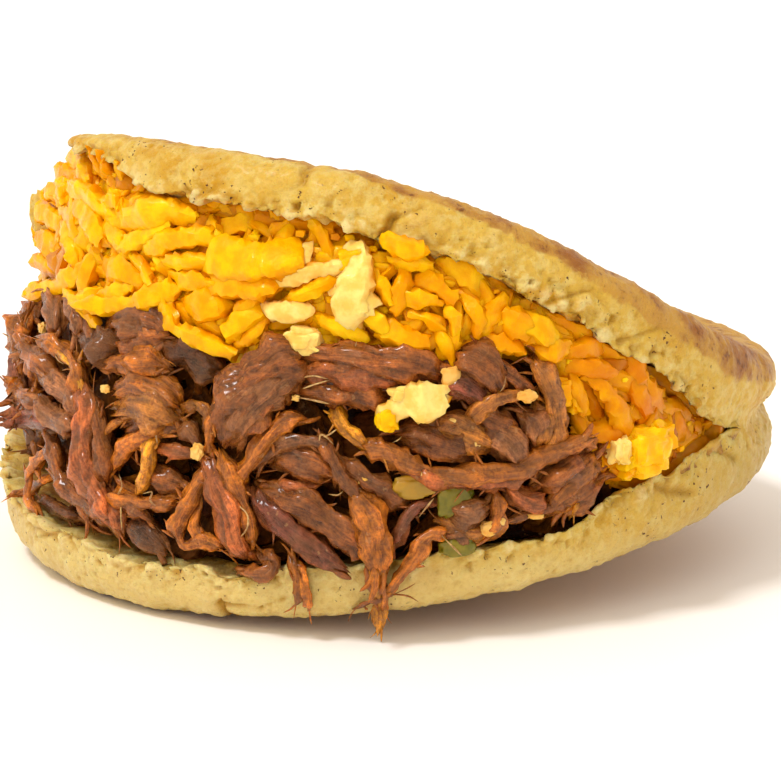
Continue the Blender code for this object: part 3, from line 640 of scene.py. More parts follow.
def meat(heap, points, width, thickness, tint, draw):
    """A torn piece of muscle: a ridged body whose fibres part at both ends."""
    count = max(9, int(path_length(curve_through(points, 24)) / MEAT_SPACING))
    path = curve_through(points, count)
    outward = away_from_middle(path) + np.array([draw.uniform(-0.4, 0.4) for _ in range(3)])
    across, upright = frames(path, outward)
    run = np.cross(across, upright)
    seed = draw.uniform(0.0, 400.0)
    step_length = path_length(path) / (count - 1)
    end = from_ends(count) * step_length
    body = np.clip(end / (0.5 * width + 0.8), 0.0, 1.0) ** 0.6
    body = (0.26 + 0.74 * body) * (1.0 + wander(count, MEAT_SPACING, 5.5, 0.5, seed))
    around = math.pi * (width + thickness) / 2.0
    sides = int(min(max(around / MEAT_SIDE, 12), 34))
    turn = 2.0 * np.pi * np.arange(sides) / sides
    radius = around / (2.0 * math.pi)
    along = np.broadcast_to((np.arange(count) * step_length)[:, None], (count, sides))
    ring_x = np.broadcast_to(radius * np.cos(turn), (count, sides))
    ring_y = np.broadcast_to(radius * np.sin(turn), (count, sides))
    twist = 0.25 * along * draw.uniform(-1.0, 1.0)
    coarse = np.stack([along / 6.0, ring_x / 1.4 + twist, ring_y / 1.4], -1)
    fine = np.stack([along / 2.6, ring_x / 0.6, ring_y / 0.6], -1)
    coarse = np.abs(crags(coarse, 1.0, seed))
    fine = np.abs(crags(fine, 1.0, seed + 40.0))
    ridge = 1.15 * coarse + 0.85 * fine
    flat = np.cos(turn)[None, :, None] * across[:, None]
    high = np.sin(turn)[None, :, None] * upright[:, None]
    surface = path[:, None] + (flat * width + high * thickness) * 0.5 * body[:, None, None]
    normal = unit(flat / width + high / thickness)
    swell = (0.6 + 0.2 * thickness) * (ridge - 0.4)
    swell = swell + 0.26 * thickness * crags(surface, 2.8, seed + 80.0)
    swell = swell + 0.35 * crags(surface, 1.1, seed + 60.0)
    surface = surface + normal * (swell * body[:, None])[..., None]
    pull = 2.8 * crags(np.stack([0.0 * along, ring_x / 0.8, ring_y / 0.8], -1), 1.0, seed + 9.0)
    pull = pull * np.exp(-end / 1.8)[:, None]
    surface = surface + run[:, None] * pull[..., None]
    rings = [surface[0].mean(axis=0) + (surface[0] - surface[0].mean(axis=0)) * 0.3]
    rings.extend(surface)
    rings.append(surface[-1].mean(axis=0) + (surface[-1] - surface[-1].mean(axis=0)) * 0.3)
    colour = np.array(tint)
    # Painted glow of light through the thin flanks and ends, partly the meat's own orange; below,
    # grooves are painted darker as shade and ridges lighter as painted light
    edge_glow = 0.4 * np.abs(np.cos(turn))[None, :] ** 6 + 0.35 * np.exp(-end / 1.5)[:, None]
    tints = colour * (0.36 + 1.5 * ridge)[..., None]
    tints = tints + (EDGE_COLOUR - tints) * np.clip(edge_glow, 0.0, 0.6)[..., None]
    grain = np.stack([along + seed, ring_x, ring_y], -1)
    heap.tube(np.array(rings), np.concatenate([tints[:1], tints, tints[-1:]]),
              np.concatenate([grain[:1], grain, grain[-1:]]))
    for i in range(int(round(draw.uniform(2.0, 5.0)))):
        at_end = i % 2 == 0
        loose_end(heap, path if at_end else path[::-1], outward if at_end else outward[::-1],
                  width, thickness, colour, draw)
    for _ in range(int(count * MEAT_SPACING / HAIR_SPACING)):
        at = int(draw.uniform(2, count - 4))
        sign = draw.choice((-1.0, 1.0))
        start = path[at] + across[at] * (sign * 0.36 * width * body[at])
        away = run[at] * draw.choice((-1.0, 1.0)) * 0.8
        away = away + across[at] * sign * draw.uniform(0.4, 1.0)
        away = away + upright[at] * draw.uniform(-0.2, 0.5)
        bend = across[at] * sign * draw.uniform(-0.4, 0.8) + upright[at] * draw.uniform(-0.3, 0.3)
        reach = draw.uniform(1.2, 2.6)
        line = curve_through([start, start + away * reach * 0.5,
                              start + away * reach + bend * reach * 0.4], 8)
        fibre(heap, line, np.repeat(upright[at][None], 8, axis=0), draw.uniform(0.14, 0.42),
              colour * 0.6 + 0.6 * EDGE_COLOUR, seed + at, 6)


def loose_end(heap, path, outward, width, thickness, colour, draw):
    """A strand that leaves the end of a piece of muscle; some are as fine as a hair."""
    start = len(path) - max(3, len(path) // 5)
    run = path[-1] - path[start]
    reach = max(np.linalg.norm(run), 1e-6)
    run = run / reach
    away = outward[-1] / np.linalg.norm(outward[-1])
    side = np.cross(run, away)
    hair = draw.random() < 0.3
    length = draw.uniform(1.2, 3.4) * (1.4 if hair else 1.0)
    lean = draw.uniform(-0.6, 0.6)
    lift = draw.uniform(-0.35, 0.4)
    origin = path[start] + side * draw.uniform(-0.3, 0.3) * width
    places = [origin, origin + run * reach * 0.7 + away * 0.2]
    places.append(places[-1] + (run + side * lean + away * lift) * length * 0.6)
    places.append(places[-1] + (run * 0.8 + side * lean * 1.8 + away * lift) * length * 0.5)
    line = curve_through(places, 12)
    if hair:
        size = draw.uniform(0.10, 0.16)
    else:
        size = draw.uniform(0.13, 0.24) * (width + thickness) / 2.0
    tint = colour * 0.8 + 0.5 * EDGE_COLOUR
    fibre(heap, line, np.repeat(away[None], 12, axis=0), min(size, 0.8), tint,
          draw.uniform(0.0, 300.0), 6)


# Edges sharper than this many degrees stay crisp on the cheese
CRISP = 33.0


def shred(heap, points, width, thickness, tint, draw, spacing=0.65, sides=14):
    """A grated shred of cheese: a blunt bar with soft edges and an uneven skin, its flanks and back
    turned a deeper orange as painted shade.
    """
    points = np.asarray(points, float)
    longer = 0.14 * (points[-1] - points[0])
    points = np.vstack([points[:1] - longer, points[1:-1], points[-1:] + longer])
    length = path_length(curve_through(points, 16))
    count = max(7, int(length / spacing))
    path = curve_through(points, count)
    lean = np.array([draw.uniform(-0.5, 0.5) for _ in range(3)])
    across, upright = frames(path, unit(away_from_middle(path) + lean))
    run = unit(np.gradient(path, axis=0))
    seed = draw.uniform(0.0, 400.0)
    end = from_ends(count) * spacing
    tip_size = draw.uniform(0.3, 0.9)
    body = tip_size + (1.0 - tip_size) * np.clip(end / (0.9 * width), 0.0, 1.0) ** 0.7
    body = body * (1.0 + wander(count, spacing, 3.6, 0.5, seed))
    turn = 2.0 * np.pi * (np.arange(sides) + 0.5) / sides
    c = np.sign(np.cos(turn)) * np.abs(np.cos(turn)) ** 0.55
    s = np.sign(np.sin(turn)) * np.abs(np.sin(turn)) ** draw.uniform(0.4, 1.3)
    twist = draw.uniform(-0.6, 0.6)
    flank = np.abs(c) ** 3
    rings = []
    spots = [(0, 0.35, -0.16), (0, 0.82, -0.10)] + [(i, 1.0, 0.0) for i in range(count)]
    spots += [(count - 1, 0.82, 0.10), (count - 1, 0.35, 0.16)]
    for i, scale, push in spots:
        angle = twist * i / count
        a = math.cos(angle) * across[i] + math.sin(angle) * upright[i]
        b = math.cos(angle) * upright[i] - math.sin(angle) * across[i]
        middle = path[i] + run[i] * push * thickness
        ring = (middle + np.outer(c, a) * width * 0.5 * scale * body[i]
                + np.outer(s, b) * thickness * 0.5 * scale * body[i])
        jag = crags(ring, 0.8, seed + 30.0) * flank * 0.7 * min(width, 3.0) / 3.0
        rings.append(ring + np.outer(jag * np.sign(c), a))
    rings = np.array(rings)
    away = unit(rings - rings.mean(axis=1, keepdims=True))
    lumps = roughened(0.0, rings, ((0.36, 2.3, seed), (0.26, 0.9, seed + 50.0)))
    lumps = lumps + 0.34 * (clods(rings, 1.5, seed + 20.0) - 0.5)
    rings = rings + away * lumps[..., None]
    torn = crags(rings, 1.1, seed + 90.0) * draw.uniform(1.0, 2.6)
    edge = np.exp(-from_ends(len(rings)) * spacing / 1.2)
    rings = rings + run[[i for i, _, _ in spots]][:, None] * (torn * edge[:, None])[..., None]
    # Painted shade: the flanks and back of the shred take the deeper orange of shade between shreds
    front = smooth((s + 0.35) / 1.1)[None, :, None]
    tints = CHEESE_FLANK_SHADE + (shaded(tint, path) - CHEESE_FLANK_SHADE) * front
    heap.tube(rings, tints, rings + seed)


def ball(detail):
    """Points and triangles of a round body of size 1."""
    shape = bmesh.new()
    bmesh.ops.create_icosphere(shape, subdivisions=detail, radius=1.0)
    units = np.array([vertex.co for vertex in shape.verts])
    shape.verts.index_update()
    faces = np.array([[vertex.index for vertex in face.verts] for face in shape.faces])
    shape.free()
    return units, faces


def lump(heap, centre, size, tint, seed, squareness=0.7, detail=4, rough=0.22):
    """An uneven solid piece, such as a crumb of cheese, with its three sizes."""
    units, faces = ball(detail)
    outward = centre * np.array([1.0, 1.0, 0.0])
    outward = outward / np.linalg.norm(outward)
    across = np.cross(UP_AXIS, outward)
    body = np.sign(units) * np.abs(units) ** squareness
    swell = 1.0 + rough * crags(units, 0.62, seed) + 0.45 * rough * crags(units, 0.22, seed)
    swell = swell + 0.9 * rough * (clods(units, 0.7, seed) - 0.5)
    body = body * swell[:, None]
    points = (centre + body[:, :1] * size[0] / 2.0 * across
              + body[:, 1:2] * size[1] / 2.0 * UP_AXIS + body[:, 2:] * size[2] / 2.0 * outward)
    base = heap.count
    heap.points.append(points)
    heap.faces.extend((faces + base).tolist())
    heap.tints.append(np.broadcast_to(np.array(tint), points.shape))
    heap.grains.append(points + seed)
    heap.count += len(points)


# Cracks in the rim: side, direction and height at both ends, width and depth
CRACKS = (
    (-1, 246.4, -5.0, 246.2, -9.4, 0.45, 1.5), (-1, 246.0, -5.2, 252.5, -5.9, 0.35, 0.8),
    (-1, 252.5, -5.9, 256.0, -4.6, 0.3, 0.5), (1, 252.6, 8.4, 253.2, 5.2, 0.8, 0.7),
    (1, 265.6, -0.5, 266.4, 3.6, 0.7, 1.2), (1, 266.4, 3.6, 269.5, 6.0, 0.5, 0.6),
    (1, 290.0, 0.5, 296.0, 4.4, 0.35, 0.45), (1, 296.0, 4.4, 301.0, 3.2, 0.3, 0.3),
    (1, 303.0, 1.0, 308.5, 4.6, 0.35, 0.45), (1, 308.5, 4.6, 317.0, 5.8, 0.3, 0.3),
    (-1, 312.0, -1.2, 319.0, -3.6, 0.45, 0.8), (-1, 325.0, -0.5, 331.0, -3.0, 0.4, 0.7),
    (-1, 196.0, 0.2, 206.0, -1.6, 0.4, 1.1), (-1, 206.0, -1.6, 214.0, -1.0, 0.35, 0.5),
)


def crack_depth(side, phi, height):
    """How deep the named cracks run at places on the rim wall."""
    depth = 0.0 * phi
    for which, phi_a, height_a, phi_b, height_b, width, deep in CRACKS:
        if which != side:
            continue
        x = np.radians(off_by(phi, phi_a)) * CAKE_RADIUS
        run = math.radians(phi_b - phi_a) * CAKE_RADIUS
        rise = height_b - height_a
        share = np.clip((x * run + (height - height_a) * rise) / (run ** 2 + rise ** 2), 0.0, 1.0)
        away = np.hypot(x - share * run, height - height_a - share * rise)
        depth = depth + deep * np.exp(-(away / width) ** 2)
    return depth


def bread_grid():
    """The corn cake as one closed mesh: points, faces and three fields on the points."""
    count = int(round(360.0 / COLUMN_STEP))
    theta = np.arange(count) * 360.0 / count
    points = []
    fields = []
    faces = []

    def ring(places, brown, crumb, crack):
        base = sum(len(p) for p in points)
        points.append(places)
        fields.append(np.stack([brown, crumb, crack], axis=-1))
        return base + np.arange(len(places))

    def strip(first, second, closed):
        last = len(first) if closed else len(first) - 1
        for i in range(last):
            j = (i + 1) % len(first)
            corners = []
            for corner in (first[i], first[j], second[j], second[i]):
                if corner not in corners:
                    corners.append(int(corner))
            if len(corners) > 2:
                faces.append(corners)

    joined = holding(theta) >= 1.0 - 1e-9
    edges = {}
    for side in (1, -1):
        rings, browned, crumbs = skin_rings(side, theta)
        ids = []
        for (_, share, scale, _), places, brown, crumb in zip(
                skin_profile(), rings, browned, crumbs):
            places = places.copy()
            places[:, 2] = np.maximum(places[:, 2], FLOOR)
            crack = crack_depth(side, theta + HINGE_DIRECTION, side * share * HALF_HEIGHT
                                + 0.0 * theta) * (scale == 1.0)
            ids.append(ring(places, brown, crumb, crack))
        edges[side] = ids[0]
        if side < 0:
            ids[0][joined] = edges[1][joined]
        for outer, inner in zip(ids, ids[1:]):
            if side > 0:
                strip(outer, inner, True)
            else:
                strip(inner, outer, True)
        cap = ids[-1].tolist()
        faces.append(cap if side > 0 else cap[::-1])
    mouth = np.nonzero((theta >= SLIT_END - 1e-6) & (theta <= 360.0 - SLIT_END + 1e-6))[0]
    angles = theta[mouth]
    rows = np.linspace(0.0, 1.0, CUT_ROW_COUNT) ** 1.6
    shared = None
    for side in (-1, 1):
        ids = [edges[side][mouth]]
        for row in rows[1:]:
            if row == 1.0 and shared is not None:
                ids.append(shared)
                continue
            crumb = np.full(len(angles), 0.35 + 0.65 * math.exp(-row * 14.0))
            stain = np.full(len(angles), (0.60 if side < 0 else 0.30)
                            * float(smooth((row - 0.005) / 0.05)))
            new = ring(cut_row(side, angles, row), stain, crumb, 0.0 * angles)
            new[0] = ids[0][0]
            new[-1] = ids[0][-1]
            ids.append(new)
        shared = ids[-1]
        for outer, inner in zip(ids, ids[1:]):
            if side > 0:
                strip(inner, outer, False)
            else:
                strip(outer, inner, False)
    return np.vstack(points), faces, np.vstack(fields)


# Relief of the bread: strength in mm, size in mm and seed of each layer of noise
FINE_RELIEF = ((0.24, 1.6, 31.0), (0.22, 0.85, 37.0))
COARSE_RELIEF = (0.32, 4.5, 41.0)
CRUMB_CLODS = ((0.60, 3.1, 43.0), (0.30, 1.6, 61.0))
CRUMB_RELIEF = (0.30, 0.9, 47.0)
CLOD_MIDDLE = 0.45
PIT_DEPTH = (0.30, 0.75)

# Where painted shade darkens the bread's lower right end, which faces away from the light:
# direction and spread in degrees, and height over the middle in mm
RIGHT_SHADE_AT = -14.0
RIGHT_SHADE_SPREAD = 30.0
RIGHT_SHADE_HEIGHT = 8.0


def bread_relief(points, brown, crumb, crack):
    """How far the skin stands out in mm: crumbs, pits and cracks."""
    relief = roughened(0.0, points, FINE_RELIEF)
    strength, size, seed = COARSE_RELIEF
    relief = relief + strength * crags(points, size, seed) * (1.0 - 0.6 * brown)
    torn = 1.0 + 1.1 * smooth((crags(points, 9.0, 59.0) + 0.1) / 0.3)
    crumbs = 0.0
    for strength, size, seed in CRUMB_CLODS:
        crumbs = crumbs + strength * (clods(points, size, seed) - CLOD_MIDDLE)
    relief = relief + crumb * torn * roughened(crumbs, points, (CRUMB_RELIEF,))
    worn = smooth(0.5 + 1.8 * crags(points, 8.0, 79.0))
    pits = smooth((crags(points, 1.5, 53.0) - 0.34) / 0.16) * (0.2 + 0.8 * worn)
    return relief - (PIT_DEPTH[0] + PIT_DEPTH[1] * crumb) * pits * (1.0 - brown) - crack


def bread_fields(points, relief, brown, crumb, crack):
    """What the bread's material reads on the mesh, each from 0 to 1."""
    # Painted shade on the lower right end of the bread, which faces away from the light
    dull = hump(np.degrees(np.arctan2(points[:, 1], points[:, 0])), RIGHT_SHADE_AT, RIGHT_SHADE_SPREAD)
    return {"toast": brown, "crumb": crumb, "crack": np.minimum(crack, 1.0),
            "lower": smooth((-2.0 - points[:, 2]) / 6.0),
            # hollow: painted shade in the pits
            "hollow": smooth((-0.12 - relief) / 0.55) * (1.0 - brown),
            # flake: partly the pale crumb's own colour, partly painted highlight on raised crumbs
            "flake": smooth((relief - 0.02) / 0.40) * (0.4 + 0.6 * crumb) * (1.0 - brown),
            "dull": dull * smooth((RIGHT_SHADE_HEIGHT - points[:, 2]) / RIGHT_SHADE_HEIGHT) * (1.0 - brown)}


def bread_piece(finish):
    """The corn cake with its crumbly torn edges, pits, cracks and browned faces."""
    points, faces, fields = bread_grid()
    mesh = bpy.data.meshes.new("corn_cake")
    mesh.from_pydata(((points - SHIFT) * MM).tolist(), [], faces)
    normals = np.zeros(len(mesh.vertices) * 3)
    mesh.vertices.foreach_get("normal", normals)
    relief = bread_relief(points, *fields.T)
    flat = smooth((points[:, 2] - FLOOR) / 0.8)
    moved = points + normals.reshape(-1, 3) * (relief * flat)[:, None]
    moved[:, 2] = np.maximum(moved[:, 2], FLOOR)
    mesh.vertices.foreach_set("co", ((moved - SHIFT) * MM).ravel())
    for name, values in bread_fields(points, relief, *fields.T).items():
        field = mesh.attributes.new(name, "FLOAT", "POINT")
        field.data.foreach_set("value", values.astype(np.float32))
    shape = bmesh.new()
    shape.from_mesh(mesh)
    loose = [vertex for vertex in shape.verts if not vertex.link_faces]
    bmesh.ops.delete(shape, geom=loose, context="VERTS")
    shape.to_mesh(mesh)
    shape.free()
    mesh.polygons.foreach_set("use_smooth", np.ones(len(mesh.polygons), bool))
    mesh.materials.append(finish)
    return linked("corn_cake", mesh), moved, faces


def wall_grid(sunk, start, end, bottom, top, columns, rows):
    """Points on the open front of the filling, by column and row."""
    theta = np.linspace(start, end, columns)
    grid = []
    for share in np.linspace(0.0, 1.0, rows):
        level = bottom(theta) + (top(theta) - bottom(theta)) * share
        grid.append(wall_point(theta, level, filling_bulge(theta, level) - sunk))
    return np.array(grid)


def grid_faces(rows, columns, base):
    """Quads of a grid of points, facing outward."""
    index = base + np.arange(rows * columns).reshape(rows, columns)
    quads = np.stack([index[:-1, :-1], index[1:, :-1], index[1:, 1:], index[:-1, 1:]], axis=-1)
    return quads.reshape(-1, 4).tolist()


def nothing(theta):
    """The lower half itself."""
    return 0.0 * theta


def everything(theta):
    """The upper half itself."""
    return 0.0 * theta + 1.0


class Picture:
    """Finds the place on the cake or its filling that shows at a place in the picture."""

    COLUMNS = 240
    ROWS = 40
    FAR_LIMIT = 25.0
    NEAREST = -62.0
    FARTHEST = 20.0
    LINE_DEPTH = 4.0

    def __init__(self, bread_points, bread_faces):
        wall = wall_grid(0.0, CHEESE_START, CHEESE_END, nothing, everything, self.COLUMNS,
                         self.ROWS)
        points = np.vstack([bread_points, wall.reshape(-1, 3)])
        faces = bread_faces + grid_faces(self.ROWS, self.COLUMNS, len(bread_points))
        self.tree = BVHTree.FromPolygons(points.tolist(), faces)

    def ray(self, x, y):
        """The direction of view at a picture pixel, for one step away from the camera."""
        return (LOOK + np.array([1.0, 0.0, 0.0]) * (x - AIM_X) / FOCAL_PX
                + RISE_OF_VIEW * (AIM_Y - y) / FOCAL_PX)

    def reach(self, x, y):
        """How far away the cake is at a pixel, or where the view passes closest to it."""
        ray = self.ray(x, y)
        hit = self.tree.ray_cast(Vector(EYE), Vector(ray / np.linalg.norm(ray)))
        if hit[0] is not None:
            away = (np.array(hit[0]) - EYE) @ LOOK
            if away < DISTANCE + self.FAR_LIMIT:
                return away
        tries = np.arange(DISTANCE + self.NEAREST, DISTANCE + self.FARTHEST, 1.0)
        gaps = [self.tree.find_nearest(Vector(EYE + ray * away))[3] for away in tries]
        return float(tries[int(np.argmin(gaps))])

    def spot(self, x, y, lift):
        """The point at a picture pixel, moved towards the camera by lift."""
        return EYE + self.ray(x, y) * (self.reach(x, y) - lift)

    def line(self, places):
        """A row of such points, which may not run far along the view."""
        reaches = np.array([self.reach(x, y) for x, y, _ in places])
        middle = float(np.median(reaches))
        reaches = np.clip(reaches, middle - self.LINE_DEPTH, middle + self.LINE_DEPTH)
        return np.array([EYE + self.ray(x, y) * (away - lift)
                         for (x, y, lift), away in zip(places, reaches)])


